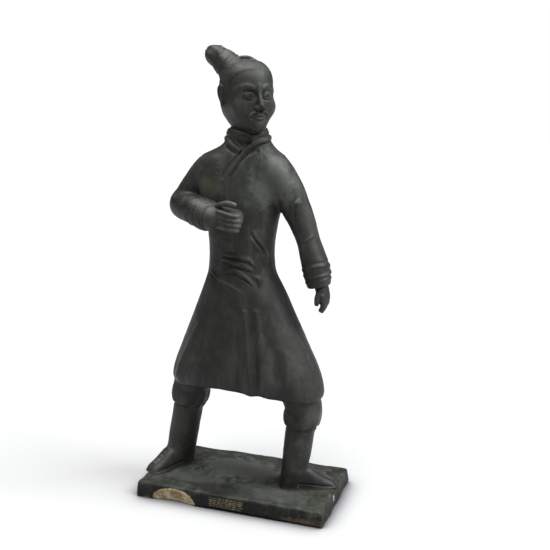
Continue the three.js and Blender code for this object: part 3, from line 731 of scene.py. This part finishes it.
def face(clay):
    for side in (1, -1):
        clay.cut(lump(on_face(side * 10, 429, 2.8), (8.6, 4.4, 4.2), HEAD["yaw"] + side * 12), 5)
        clay.add(lump(on_face(side * 15, 417, -5.4), (8, 6, 8), HEAD["yaw"] + side * 25), 6)
        clay.add(lump(on_face(side * 10, 428.3, -4), (5.6, 5.2, 3.8), HEAD["yaw"] + side * 16), 1)
        clay.add(lump(on_face(side * 3.6, 416.2, 1.8), (2.3, 3, 2.1), HEAD["yaw"]), 1.6)
    clay.add(lump(on_face(0, 399, -3.6), (7.5, 6, 5.2), HEAD["yaw"]), 5)
    brow = [(5, 434.8, -1.3, 1.6), (10, 436.9, -1.2, 1.9), (15.5, 436.2, -1.5, 1.8), (21, 432.6, -1.8, 1.2)]
    face_stroke(clay, brow, 2.6)
    upper_lid = [
        (5, 427.4, -0.1, 0.6), (7.5, 429.7, 0.5, 0.75), (10.4, 430.6, 0.6, 0.8), (13.4, 429.8, 0.3, 0.75),
        (16, 427.4, -0.6, 0.6),
    ]
    face_stroke(clay, upper_lid, 0.7)
    lower_lid = [
        (5.2, 427, -0.4, 0.45), (8, 425.5, 0, 0.55), (11.6, 425.4, 0, 0.55), (15.4, 426.8, -0.7, 0.45),
    ]
    face_stroke(clay, lower_lid, 0.8)
    face_stroke(clay, [(6, 432, -0.2, 0.5), (10.4, 433.2, 0, 0.5), (15, 431.6, -0.6, 0.4)], 1.2, cut=True)
    face_stroke(clay, [(0, 436.5, -2.2, 2.4), (0, 430, -0.2, 2), (0, 424, 2, 2.3), (0, 418.4, 3.8, 3)], 2.6)
    face_stroke(clay, [(2, 414, 2.8, 0.8), (2.2, 415.2, 3.4, 0.8)], 0.6, cut=True)
    upper_lip = [(0, 409.5, 0.2, 1.1), (2.6, 409.9, 0.5, 1.2), (5, 409.2, 0, 0.9), (7, 408.6, -0.6, 0.5)]
    face_stroke(clay, upper_lip, 1)
    face_stroke(clay, [(0, 406.1, 0.3, 1.5), (3, 406.4, 0.1, 1.2), (6, 407.6, -0.6, 0.6)], 1)
    face_stroke(clay, [(0, 407.9, 1.3, 0.45), (3.5, 408.1, 1.1, 0.45), (7.6, 408.5, 0.3, 0.4)], 0.5, cut=True)
    moustache = [
        (1, 412.5, 0.3, 0.7), (4, 412.6, 0.7, 1.15), (7.8, 411.2, 0.5, 1.15), (10.8, 408.2, 0, 0.9),
        (12, 405.4, -0.5, 0.4),
    ]
    face_stroke(clay, moustache, 0.8)
    face_stroke(clay, [(0, 403.2, -0.4, 1), (0, 400.6, 0.2, 1.5), (0, 397.8, 0.8, 0.8)], 1)


def ear(clay, side):
    middle = head_point(side * 25.9, 2.6, 429.5)
    clay.add(lump(middle, (2.6, 5.4, 9), HEAD["yaw"] + side * 14), 1.2)
    rim = [
        (0.5, 421.5, 1), (4, 425, 1.2), (6.6, 430, 1.3), (6.4, 435.4, 1.4), (3, 438.4, 1.4),
        (-0.6, 436.6, 1.2), (-1.4, 432, 0.9),
    ]
    clay.add(stroke([[*head_point(side * (26.9 + 0.12 * y), y, z), size] for y, z, size in rim]), 0.8)
    clay.cut(lump(head_point(side * 29.2, 2.2, 431), (1.7, 2.8, 4.6), HEAD["yaw"]), 0.8)
    clay.add(lump(head_point(side * 27, 0.8, 421.6), (1.6, 2.6, 3), HEAD["yaw"]), 1)


def hair(clay):
    rows = [[*head_point(*row[:3]), *row[3:]] for row in BUN]

    def twist(share, angle):
        along = smoothstep(0.2, 0.4, share) * (1 - smoothstep(0.85, 1, share))
        return 0.5 * along * np.cos(5 * angle + 9 * share)

    clay.add(tube(rows, (0, 0, 1), relief=twist), 1.5)
    for share, size in ((0.2, 1.3), (0.28, 1.2), (0.43, 1.1)):
        path = [[*on_tube(rows, share, angle, -0.3, (0, 0, 1)), size] for angle in range(0, 361, 24)]
        clay.add(stroke(path, 2), 0.6)
    loop = [(0.72, -40), (0.82, -20), (0.9, 10), (0.9, 60), (0.82, 95), (0.72, 110)]
    clay.add(stroke([[*on_tube(rows, share, angle, -0.2, (0, 0, 1)), 1.3] for share, angle in loop]), 0.8)
    strand = [(-12, 6, 461, 3), (-6, 1, 464, 2.6), (1, -4, 464, 2.4), (7, -8, 460.6, 1.8)]
    clay.add(stroke([[*head_point(x, y, z), size] for x, y, z, size in strand]), 1)


def head(clay):
    reach = HEAD["front"] + 8
    low = [HEAD["x"] - reach, -reach, HEAD["chin"] - 2]
    high = [HEAD["x"] + reach, reach, HEAD["crown"] + 3]
    neck = [[12.5, 1, 378, 17, 17], [12.5, 1, 391, 17, 17], [12, 2, 398, 15.5, 15.5], [11, 3, 412, 14, 14]]
    clay.add(tube(neck), 2)
    clay.add((skull, np.array(low), np.array(high)), 2)
    for side in (1, -1):
        ear(clay, side)
    hair(clay)
    face(clay)


# ---- The figure ----
def sash_and_folds(clay):
    upper = [(-20, 272, 0.8), (-8, 271.4, 1.7), (3, 271, 2.1), (15, 268, 2.3), (23, 267, 2), (34, 260, 0.8)]
    middle = [(-22, 266, 0.9), (-7, 265, 2), (4, 262, 2.6), (15, 260, 2.5), (28, 256, 1.2)]
    lower = [(-12, 253, 1), (-2, 256, 2.2), (6, 254, 2.7), (16, 250, 2.4), (24, 246, 1.8), (28, 242, 0.8)]
    for path in (upper, middle, lower):
        fold(clay, path)
        under = [(angle, height - size - 0.8, size * 0.5) for angle, height, size in path]
        fold(clay, under, -0.1, 1, cut=True)
    fold(clay, [(36, 249, 1.2), (40, 248, 2.4), (44, 245.6, 2.6), (42, 241, 1.6)], 0.3, 1.4)
    fold(clay, [(-46, 252, 0.9), (-27, 246, 1.3), (-12, 242, 1.4), (0, 238.4, 1.2), (9, 235, 0.7)], 0.3, 1.6)
    fold(clay, [(-44, 249.6, 0.5), (-26, 243.4, 0.8), (-11, 239.6, 0.8), (2, 235.6, 0.5)], 0, 1.4, cut=True)
    fold(clay, [(22, 296, 1), (36, 286.6, 1.9), (50, 278.4, 1.9), (58, 270, 0.9)])
    fold(clay, [(21, 289, 1), (33, 281.4, 1.8), (44, 275, 1.8), (54, 269, 0.8)])
    fold(clay, [(22, 292.4, 0.4), (36, 283, 0.8), (48, 276, 0.8), (56, 270, 0.4)], 0, 1.4, cut=True)
    fold(clay, [(30, 376, 1.2), (26, 370, 2.2), (22.5, 363, 2.3), (21, 356, 2), (20, 349, 0.9)], 0.04, 2)
    fold(clay, [(31, 374, 1.2), (35, 368, 2.1), (41, 362, 2.2), (47, 355, 2), (52, 348, 0.9)], 0.04, 2)
    fold(clay, [(13.4, 214, 0.7), (13.4, 195, 1.2), (13.2, 172, 1.2), (13, 146, 0.8)], 0.8, 6)
    fold(clay, [(28, 214, 0.6), (26, 190, 1.1), (23.6, 165, 1.1), (22, 140, 0.8)], 0.9, 6)
    fold(clay, [(-36, 196, 0.6), (-41, 178, 1), (-46, 156, 1), (-50, 142, 0.6)], 1, 7)
    fold(clay, [(45, 274, 0.4), (54, 268, 0.8), (55, 260, 0.8), (46, 251, 0.4)], 0, 2.4, cut=True)


def sculpt_figure():
    # The grid lines lie closer in the middle, at the shoes and at the head.
    xs = spaced([(-112, -26, 0.8), (-26, 52, 0.6), (52, 110.5, 0.8)])
    ys = spaced([(-54, -36, 0.8), (-36, 37, 0.6), (37, 52, 1.0)])
    zs = spaced([(SOLES - 4, 48, 0.65), (48, 372, 0.95), (372, 484, 0.6)])
    clay = Clay(xs, ys, zs)
    carve_robe(clay)
    left_arm(clay)
    right_arm(clay)
    head(clay)
    dress_neck(clay)
    sash_and_folds(clay)
    for spec in LEGS.values():
        leg(clay, spec)
        shoe(clay, spec)
    # The clay spreads a little where it meets the plinth, and ends flat there.
    spans, _, _, z = clay.work([xs[0], ys[0], 0], [xs[-1], ys[-1], SOLES + 12])
    near = clay.field[spans]
    near = soft_min(near, (z - SOLES + 0.7) + 0 * near, 5)
    clay.field[spans] = soft_max(near, SOLES - z + 0 * near, 0.1)
    return clay


# ---- The plinth ----
SPREAD = (1.6, 2.4)  # how far the slab's sides lean out towards its underside
EASED = 3.4  # the radius of its edges
# The chip in the front's lower edge: centre and radii.
CHIP_AT, CHIP_SIZE = (-61, SLAB_LOW[1], 0), (25, 4.2, 16.5)
# The dashes of the front: from where to where, the heights of their rows, and their half width.
MARKS = {"from": -18.8, "to": 19.4, "rows": (13, 10.9, 8.8, 6.7, 4.6), "size": 0.5}
# Broad low mounds and dips of the hand-smoothed top: centre, radii, and how far each stands up.
UNEVEN = [
    ((-22, 6), (46, 26), 1.1), ((38, -22), (34, 16), 0.8), ((-2, -38), (26, 13), -0.9),
    ((66, -34), (30, 16), -0.7), ((-78, -34), (26, 16), -0.6), ((20, 28), (40, 18), 0.5),
    ((92, 30), (22, 20), -0.6),
]


def slab(x, y, z):
    """The slab's field: leaning sides that waver, eased edges and an uneven top."""
    share = z / SLAB_HIGH[2]
    wander = 0.5 * np.sin(y / 14 + 1) * np.sin(z / 11) + 0.3 * np.sin(y / 6.1)
    out_x = np.abs(x) - (SLAB_HIGH[0] - 0.6 - SPREAD[0] * share - EASED + wander) + 0 * z
    wander = 0.5 * np.sin(x / 19 + 2) + 0.3 * np.sin(x / 7.3)
    out_y = np.abs(y) - (SLAB_HIGH[1] - 0.5 - SPREAD[1] * share - EASED + wander * share) + 0 * z
    top = SLAB_HIGH[2] - 0.5 + 0 * x + 0 * y
    for (cx, cy), (rx, ry), rise in UNEVEN:
        top = top + rise * np.exp(-(((x - cx) / rx) ** 2) - ((y - cy) / ry) ** 2)
    out_z = np.maximum(z - top, -z) + EASED
    outs = [out_x + 0 * y, out_y + 0 * x, out_z + 0 * x + 0 * y]
    outside = np.sqrt(sum(np.maximum(out, 0) ** 2 for out in outs))
    return (outside + np.minimum(np.maximum(np.maximum(*outs[:2]), outs[2]), 0) - EASED).astype(np.float32)


def face_y(height):
    """Where the slab's front face is at a height."""
    return SLAB_LOW[1] + SPREAD[1] * height / SLAB_HIGH[2]


def marks():
    """Rows of short shallow dashes where the slab carries its inscription: not letters."""
    random = np.random.default_rng(11)
    strokes = []
    for row in MARKS["rows"]:
        start = MARKS["from"] + random.uniform(0, 1.5)
        while start < MARKS["to"] - 1:
            end = min(start + random.uniform(1.2, 4.2), MARKS["to"])
            ends = [[x, face_y(row), row + random.uniform(-0.3, 0.3)] for x in (start, end)]
            strokes.append(np.array(ends))
            start = end + random.uniform(1.3, 2.4)
    return strokes


def sculpt_plinth():
    xs = spaced([(-112, -24, 1.1), (-24, 24, 0.5), (24, 112, 1.1)])
    ys = spaced([(-58, -51, 0.5), (-51, 58, 1.1)])
    zs = spaced([(-3, 21.5, 0.5)])
    clay = Clay(xs, ys, zs)
    # Low mounds of clay round the shoes, kept inside the slab's edges.
    for spec in LEGS.values():
        heel, toe = np.array(spec["heel"]), np.array(spec["toe"])
        middle, reach = (heel + toe) / 2, np.linalg.norm(toe - heel) / 2 + 9
        turn = math.degrees(math.atan2(*(toe - heel)[::-1]))
        clay.add(lump([*middle, GROUND - 1.5], (reach, 19, 2.9), turn), 2)
        clay.add(lump([*spec["ankle"], GROUND - 1.5], (21, 21, 2.9)), 2)
    _, x, y, z = clay.work(SLAB_LOW - 9, SLAB_HIGH + 9)
    edge = np.maximum(np.abs(x) - SLAB_HIGH[0] + 5, np.abs(y) - SLAB_HIGH[1] + 5) + 0 * z
    clay.field = soft_max(clay.field, edge.astype(np.float32), 3)
    clay.add((slab, SLAB_LOW, SLAB_HIGH), 2)
    clay.cut(lump(CHIP_AT, CHIP_SIZE), 0.6)
    for line in marks():
        clay.cut(stroke([[*point, MARKS["size"]] for point in line], 2), 0.3)
    return clay


def mark_gilding(piece):
    """Writes how much of each vertex lies in the gilded dashes."""
    points = np.array([v.co for v in piece.data.vertices]) / MM
    nearest = np.full(len(points), FAR)
    for a, b in marks():
        line = b - a
        share = np.clip((points - a) @ line / (line @ line), 0, 1)[:, None]
        nearest = np.minimum(nearest, np.linalg.norm(points - a - share * line, axis=1))
    write(piece, "gilt", 1 - smoothstep(0.5, 0.85, nearest))


def write(piece, name, values):
    """Stores one number for each vertex."""
    made = piece.data.attributes.new(name, "FLOAT", "POINT")
    made.data.foreach_set("value", np.asarray(values, np.float32))


def blurred(values, width):
    """A box blur, `width` cells wide on each axis."""
    for k in range(3):
        pad = [(0, 0)] * 3
        pad[k] = (width // 2 + 1, width // 2)
        total = np.cumsum(np.pad(values, pad, mode="edge"), axis=k, dtype=np.float32)
        last = total.shape[k]
        values = np.take(total, range(width, last), k) - np.take(total, range(last - width), k)
        values = values / width
    return values


def mark_hollows(piece, clay):
    """Writes how far each vertex lies in a recess (above 0) or on an edge (below 0), finely and broadly."""
    points = np.array([v.co for v in piece.data.vertices]) / MM
    for name, reach, width in (("recess", 2.0, 5), ("hollow", 6.0, 17)):
        soft = blurred(np.clip(clay.field, -reach, reach), width)
        write(piece, name, -clay.sample(soft, points) / reach)


# ---- Materials ----
class Shader:
    """A node material, built with short calls."""

    def __init__(self, name):
        self.material = bpy.data.materials.new(name)
        self.material.use_nodes = True
        self.nodes, self.links = self.material.node_tree.nodes, self.material.node_tree.links
        self.body = self.nodes["Principled BSDF"]

    def set(self, node, name, value):
        """Sets or links an input, given by its name or its number."""
        socket = node.inputs[name]
        if isinstance(value, bpy.types.NodeSocket):
            self.links.new(value, socket)
        else:
            socket.default_value = value

    def math(self, operation, a, b):
        made = self.nodes.new("ShaderNodeMath")
        made.operation = operation
        self.set(made, 0, a)
        self.set(made, 1, b)
        return made.outputs[0]

    def times(self, a, b):
        return self.math("MULTIPLY", a, b)

    def plus(self, a, b):
        return self.math("ADD", a, b)

    def ramp(self, value, low, high, bottom=0.0, top=1.0):
        """A smooth rise from bottom to top as value goes from low to high."""
        made = self.nodes.new("ShaderNodeMapRange")
        made.interpolation_type = "SMOOTHSTEP"
        inputs = {"Value": value, "From Min": low, "From Max": high, "To Min": bottom, "To Max": top}
        for name, number in inputs.items():
            self.set(made, name, number)
        return made.outputs[0]

    def mix(self, share, a, b):
        made = self.nodes.new("ShaderNodeMix")
        made.data_type = "RGBA"
        self.set(made, 0, share)
        for number, colour in ((6, a), (7, b)):
            self.set(made, number, (*colour, 1) if isinstance(colour, tuple) else colour)
        return made.outputs[2]

    def place(self, stretch=(1, 1, 1), shift=(0, 0, 0)):
        coordinates = self.nodes.new("ShaderNodeTexCoord").outputs["Object"]
        made = self.nodes.new("ShaderNodeMapping")
        self.set(made, "Vector", coordinates)
        self.set(made, "Scale", stretch)
        self.set(made, "Location", shift)
        return made.outputs[0]

    def noise(self, size, detail=3.0, rough=0.5, stretch=(1, 1, 1), shift=(0, 0, 0)):
        """Noise from 0 to 1 whose lumps are about `size` millimetres across."""
        made = self.nodes.new("ShaderNodeTexNoise")
        self.set(made, "Vector", self.place(stretch, shift))
        self.set(made, "Scale", 1 / (size * MM))
        self.set(made, "Detail", detail)
        self.set(made, "Roughness", rough)
        return made.outputs["Fac"]

    def patch(self, centre, size, ragged=0.3, grain=9.0):
        """How far from the centre of an ellipsoid: 0 there, about 1 on its ragged skin, more outside it."""
        place = self.place()
        for operation, values in (("SUBTRACT", centre), ("DIVIDE", size)):
            step = self.nodes.new("ShaderNodeVectorMath")
            step.operation = operation
            self.set(step, 0, place)
            step.inputs[1].default_value = [value * MM for value in values]
            place = step.outputs[0]
        length = self.nodes.new("ShaderNodeVectorMath")
        length.operation = "LENGTH"
        self.set(length, 0, place)
        wander = self.ramp(self.noise(grain, 4, 0.6), 0.3, 0.7, -ragged, ragged)
        return self.plus(length.outputs["Value"], wander)

    def attribute(self, name):
        made = self.nodes.new("ShaderNodeAttribute")
        made.attribute_name = name
        return made.outputs["Fac"]

    def bump(self, height, distance, strength=1.0, under=None):
        made = self.nodes.new("ShaderNodeBump")
        self.set(made, "Height", height)
        self.set(made, "Distance", distance * MM)
        self.set(made, "Strength", strength)
        if under is not None:
            self.set(made, "Normal", under)
        return made.outputs[0]


# The clay's colours. In the patch tables below, black also serves as painted shade, and pale and worn also
# serve as painted light and painted highlights.
CLAY = {
    "dark": (0.0115, 0.0123, 0.0098),
    "body": (0.0235, 0.0248, 0.0205),
    "pale": (0.055, 0.059, 0.053),
    "dust": (0.056, 0.053, 0.031),
    "black": (0.006, 0.0065, 0.006),
    "worn": (0.12, 0.124, 0.108),
    # Painted light: the lighter middle of the plinth's top.
    "painted_top_light": (0.094, 0.1, 0.094),
    "speck": (0.22, 0.2, 0.16),
}
# Patches of other colour: centre, radii, colour, strength. The pale patch on the chest's left side, towards
# the key light, is painted light. The black patches in the valley between the chest's two folds, over the
# right elbow and forearm, and at the right of the waist below that forearm are painted shade. The worn
# patches at the right hand's finger and thumb tips are painted highlights.
FIGURE_PATCHES = [
    ((44, -20, 345), (22, 26, 30), "pale", 0.85), ((8, -24, 350), (20, 16, 24), "pale", 0.1),
    ((34, -22, 361), (8, 13, 10), "black", 0.55), ((68.6, -8, 325.4), (4, 7, 1.9), "worn", 0.3),
    ((95, -4, 246), (9, 14, 10), "worn", 0.18), ((63, -12, 306), (8, 10, 15), "black", 0.6),
    ((-46, -14, 310), (38, 36, 30), "black", 0.85), ((-20, -24, 338), (15, 16, 12), "dust", 0.5),
    ((-30, -12, 258), (20, 26, 28), "black", 0.62), ((84, 2, 254), (26, 24, 26), "black", 0.6),
    ((-6, 8, 415), (26, 28, 24), "black", 0.5), ((76, -10, 110), (26, 26, 17), "dust", 0.5),
    ((86, -6, 108), (14, 24, 17), "pale", 0.5), ((20, -20, 452), (26, 20, 14), "pale", 0.12),
    ((-66, 4, 20), (60, 60, 26), "black", 0.45), ((76, -2, 20), (52, 40, 24), "black", 0.85),
    ((-89.8, -11.7, 28), (4.5, 4.5, 9), "worn", 0.34), ((-93.3, -17.2, 27), (4.2, 4.2, 8), "worn", 0.3),
    ((-96.8, -22.7, 25), (4, 4, 8), "worn", 0.3), ((88, 7, 26), (8, 4, 6), "worn", 0.3),
    ((17, -40, 305), (4.5, 8, 11), "worn", 0.3), ((14, -41, 325), (5, 6, 4), "worn", 0.25),
]
# Patches of the plinth: centre, radii, colour, strength. The lighter middle of the top is painted light, and
# the pale patch at the top's front left is a painted highlight. The black patches over the front and both
# ends, and the dark patch on the top under the skirt's front, are painted shade.
PLINTH_PATCHES = [
    ((-8, 10, 18), (56, 28, 7), "painted_top_light", 0.62), ((-50, -22, 18), (36, 15, 6), "pale", 0.5),
    ((24, -24, 18), (26, 9, 6), "pale", 0.3), ((56, -34, 18), (34, 12, 6), "pale", 0.36),
    ((20, 4, 18), (30, 14, 6), "dust", 0.3), ((0, -58, 7), (160, 11, 15), "black", 0.92),
    ((110, 0, 7), (8, 70, 14), "black", 0.7), ((-110, 0, 7), (8, 70, 14), "black", 0.6),
    ((-14, -40, 18), (30, 11, 5), "black", 0.5), ((80, 20, 18), (26, 20, 5), "black", 0.3),
]


def patina(shader, patches, rubbing):
    """The fired clay's colour, roughness and bump, with dust in its hollows and rubbed edges."""
    broad = shader.noise(34, 3, 0.55)
    fine = shader.noise(4.2, 4, 0.6)
    streaks = shader.noise(9, 3, 0.55, (1, 1, 0.14), (3, 1, 0))
    colour = shader.mix(shader.ramp(broad, 0.3, 0.7), CLAY["dark"], CLAY["body"])
    colour = shader.mix(shader.ramp(fine, 0.35, 0.75, 0, 0.45), colour, CLAY["body"])
    clouds = shader.noise(15, 4, 0.62, shift=(4, 9, 1))
    colour = shader.mix(shader.ramp(clouds, 0.5, 0.68, 0, 0.34), colour, CLAY["pale"])
    colour = shader.mix(shader.ramp(clouds, 0.34, 0.48, 0.4, 0), colour, CLAY["black"])
    colour = shader.mix(shader.ramp(streaks, 0.52, 0.72, 0, 0.3), colour, CLAY["pale"])
    # Patches of colour. Some of them are painted shade, painted light and painted highlights, as their tables
    # say.
    for centre, size, tone, strength in patches:
        share = shader.ramp(shader.patch(centre, size), 0.55, 1.25, strength, 0)
        colour = shader.mix(share, colour, CLAY[tone])
    recess, hollow = shader.attribute("recess"), shader.attribute("hollow")
    edges = shader.ramp(shader.times(recess, -1), 0.1, 0.34, 0, rubbing)
    rubbed = shader.times(edges, shader.ramp(fine, 0.34, 0.62, 0.15, 1))
    colour = shader.mix(rubbed, colour, CLAY["worn"])
    narrow, wide = shader.ramp(recess, 0.05, 0.3, 0, 0.5), shader.ramp(hollow, 0.12, 0.4, 0, 0.55)
    dust = shader.math("MAXIMUM", narrow, wide)
    dust = shader.times(dust, shader.ramp(shader.noise(7, 5, 0.65, shift=(0, 5, 0)), 0.35, 0.62))
    colour = shader.mix(dust, colour, CLAY["dust"])
    specks = shader.nodes.new("ShaderNodeTexVoronoi")
    shader.set(specks, "Vector", shader.place())
    shader.set(specks, "Scale", 1 / (5 * MM))
    dot = shader.ramp(specks.outputs["Distance"], 0.05, 0.11, 0.8, 0)
    some = shader.ramp(shader.noise(18, 1, shift=(7, 0, 2)), 0.58, 0.62)
    colour = shader.mix(shader.times(dot, some), colour, CLAY["speck"])
    rough, finer = shader.ramp(broad, 0.3, 0.7, 0.58, 0.48), shader.ramp(fine, 0.3, 0.7, -0.04, 0.06)
    rough = shader.plus(rough, finer)
    rough = shader.plus(rough, shader.times(dust, 0.3))
    grain = shader.bump(shader.noise(1.1, 3, 0.6), 0.12, 0.5)
    worked = shader.bump(shader.noise(6.5, 2, 0.5, (1, 1, 0.6)), 0.4, 0.4, grain)
    return colour, rough, worked


def fired_clay():
    """The clay's colour, blacker over the skirt, with patches of earth and paler runs there."""
    shader = Shader("fired_clay")
    colour, rough, normal = patina(shader, FIGURE_PATCHES, 0.62)
    height = shader.nodes.new("ShaderNodeSeparateXYZ")
    shader.set(height, "Vector", shader.place())
    wander = shader.ramp(shader.noise(28, 3), 0.3, 0.7, -14 * MM, 14 * MM)
    height = shader.plus(height.outputs["Z"], wander)
    below, above = shader.ramp(height, 210 * MM, 262 * MM, 0.64, 0), shader.ramp(height, 90 * MM, 120 * MM)
    skirt = shader.times(below, above)
    colour = shader.mix(skirt, colour, CLAY["black"])
    earth = shader.ramp(shader.noise(19, 4, 0.6, (1, 1, 0.55), (2, 7, 4)), 0.5, 0.66, 0, 0.22)
    colour = shader.mix(shader.times(earth, skirt), colour, CLAY["dust"])
    runs = shader.ramp(shader.noise(13, 4, 0.6, (1, 1, 0.22), (6, 1, 8)), 0.5, 0.66, 0, 0.3)
    colour = shader.mix(shader.times(runs, skirt), colour, CLAY["pale"])
    finish_clay(shader, colour, rough, normal, 0.23)
    return shader.material


def finish_clay(shader, colour, rough, normal, gloss):
    """Puts the patina on the material's body."""
    shader.set(shader.body, "Base Color", colour)
    shader.set(shader.body, "Roughness", rough)
    shader.set(shader.body, "Normal", normal)
    shader.set(shader.body, "IOR", 1.5)
    shader.set(shader.body, "Specular IOR Level", gloss)


def plinth_clay():
    """The same clay, with a pale chipped place at the front edge, worn arrises and gilded dashes."""
    shader = Shader("plinth_clay")
    colour, rough, normal = patina(shader, PLINTH_PATCHES, 0.2)
    raw_place = (CHIP_SIZE[0], CHIP_SIZE[1] + 2.6, CHIP_SIZE[2])
    chipped = shader.ramp(shader.patch(CHIP_AT, raw_place, 0.03, 5), 1.0, 1.05, 1, 0)
    raw = shader.mix(shader.ramp(shader.noise(8, 4, 0.6), 0.38, 0.64), (0.2, 0.15, 0.085), (0.4, 0.34, 0.23))
    rust = shader.ramp(shader.noise(7, 3, 0.6, (0.5, 1, 1.6), (2, 2, 2)), 0.56, 0.68, 0, 0.8)
    raw = shader.mix(rust, raw, (0.3, 0.15, 0.06))
    colour = shader.mix(chipped, colour, raw)
    sliver = shader.ramp(shader.patch((-92, SLAB_LOW[1], 0), (9, 3, 2.2), 0.15, 3), 0.9, 1.05, 0.8, 0)
    colour = shader.mix(sliver, colour, (0.3, 0.27, 0.2))
    scuff = shader.ramp(shader.patch((SLAB_HIGH[0] - 1, -9, 12), (3, 2, 4), 0.35, 2), 0.7, 1.05, 0.6, 0)
    colour = shader.mix(scuff, colour, (0.42, 0.41, 0.38))
    stain = shader.ramp(shader.patch((86, SLAB_LOW[1], 3), (24, 4, 5), 0.5, 6), 0.4, 1.3, 0.24, 0)
    colour = shader.mix(stain, colour, (0.16, 0.12, 0.06))
    gilt = shader.attribute("gilt")
    worn = shader.ramp(shader.noise(2.2, 3), 0.36, 0.6, 0.25, 0.9)
    colour = shader.mix(shader.times(gilt, worn), colour, (0.17, 0.136, 0.084))
    rough = shader.plus(rough, shader.times(chipped, 0.35))
    finish_clay(shader, colour, rough, normal, 0.12)
    return shader.material


# ---- The two pieces ----
figure_clay = sculpt_figure()
warrior = make_mesh("warrior", figure_clay, target=190_000, undulation=[(11, 0.22), (4.5, 0.1)], seed=7)
mark_hollows(warrior, figure_clay)
warrior.data.materials.append(fired_clay())
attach(warrior, "root")
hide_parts("figure")

plinth_block = sculpt_plinth()
uneven = [(24, 0.3), (8, 0.28), (3, 0.12)]
plinth = make_mesh("plinth_slab", plinth_block, target=95_000, undulation=uneven, seed=21)
mark_hollows(plinth, plinth_block)
mark_gilding(plinth)
plinth.data.materials.append(plinth_clay())
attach(plinth, "root")
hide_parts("plinth")


# ---- Stage ----
def towards(azimuth, elevation):
    """A direction by its azimuth, 0 in front of the plinth and 90 at the warrior's left, and elevation."""
    ahead, aside = cos_sin(azimuth)
    level, rise = cos_sin(elevation)
    return Vector((aside * level, -ahead * level, rise))


def camera():
    """In front of the plinth, a little to the warrior's left and above, and tilted by a hair."""
    azimuth, elevation, roll, distance = 20.0, 12.8, -0.7, 800.0
    aim = Vector((39.8, 0, 247.6))
    back = towards(azimuth, elevation)
    right = Vector((*cos_sin(azimuth), 0))
    up = back.cross(right)
    c, s = cos_sin(roll)
    right, up = right * c + up * s, up * c - right * s
    data = bpy.data.cameras.new("camera")
    data.sensor_width = 36
    data.lens = 50.727272
    data.clip_start, data.clip_end = 0.05, 20
    seen = bpy.data.objects.new("camera", data)
    turn = Matrix((right, up, back)).transposed().to_4x4()
    seen.matrix_world = Matrix.Translation((aim + back * distance) * MM) @ turn
    bpy.context.scene.collection.objects.link(seen)
    bpy.context.scene.camera = seen


def floor():
    """A plain pale ground, with painted contact shadow darkening it close to what stands on it."""
    mesh = bpy.data.meshes.new("floor")
    reach = 6
    corners = [(-reach, -reach, 0), (reach, -reach, 0), (reach, reach, 0), (-reach, reach, 0)]
    mesh.from_pydata(corners, [], [(0, 1, 2, 3)])
    ground = bpy.data.objects.new("floor", mesh)
    bpy.context.scene.collection.objects.link(ground)
    shader = Shader("floor")
    near = shader.nodes.new("ShaderNodeAmbientOcclusion")
    near.samples = 12
    shader.set(near, "Distance", 24 * MM)
    shade = shader.ramp(near.outputs["AO"], 0.5, 1, 1, 0)
    shader.set(shader.body, "Base Color", shader.mix(shade, (0.31, 0.31, 0.31), (0.08, 0.08, 0.085)))
    shader.set(shader.body, "Roughness", 0.9)
    shader.set(shader.body, "Specular IOR Level", 0.2)
    mesh.materials.append(shader.material)


def sun(name, azimuth, elevation, strength, spread, colour=(1, 1, 1)):
    """A broad soft light from an azimuth and an elevation."""
    data = bpy.data.lights.new(name, "SUN")
    data.energy, data.angle, data.color = strength, math.radians(spread), colour
    made = bpy.data.objects.new(name, data)
    made.rotation_euler = towards(azimuth, elevation).to_track_quat("Z", "Y").to_euler()
    bpy.context.scene.collection.objects.link(made)


def light():
    """A white surround that is seen but lights little, a key from the warrior's left and one overhead."""
    world = bpy.data.worlds.new("studio")
    bpy.context.scene.world = world
    world.use_nodes = True
    nodes, links = world.node_tree.nodes, world.node_tree.links
    sky = nodes["Background"]
    sky.inputs["Color"].default_value = (1, 1, 1, 1)
    seen = nodes.new("ShaderNodeLightPath").outputs["Is Camera Ray"]
    strength = nodes.new("ShaderNodeMapRange")
    links.new(seen, strength.inputs["Value"])
    strength.inputs["To Min"].default_value = 0.15
    strength.inputs["To Max"].default_value = 1
    links.new(strength.outputs[0], sky.inputs["Strength"])
    sun("key", 95, 42, 4.8, 32, (0.96, 0.98, 1))
    sun("overhead", -15, 83, 7.2, 50)


camera()
floor()
light()
bpy.context.scene.view_settings.view_transform = "Standard"
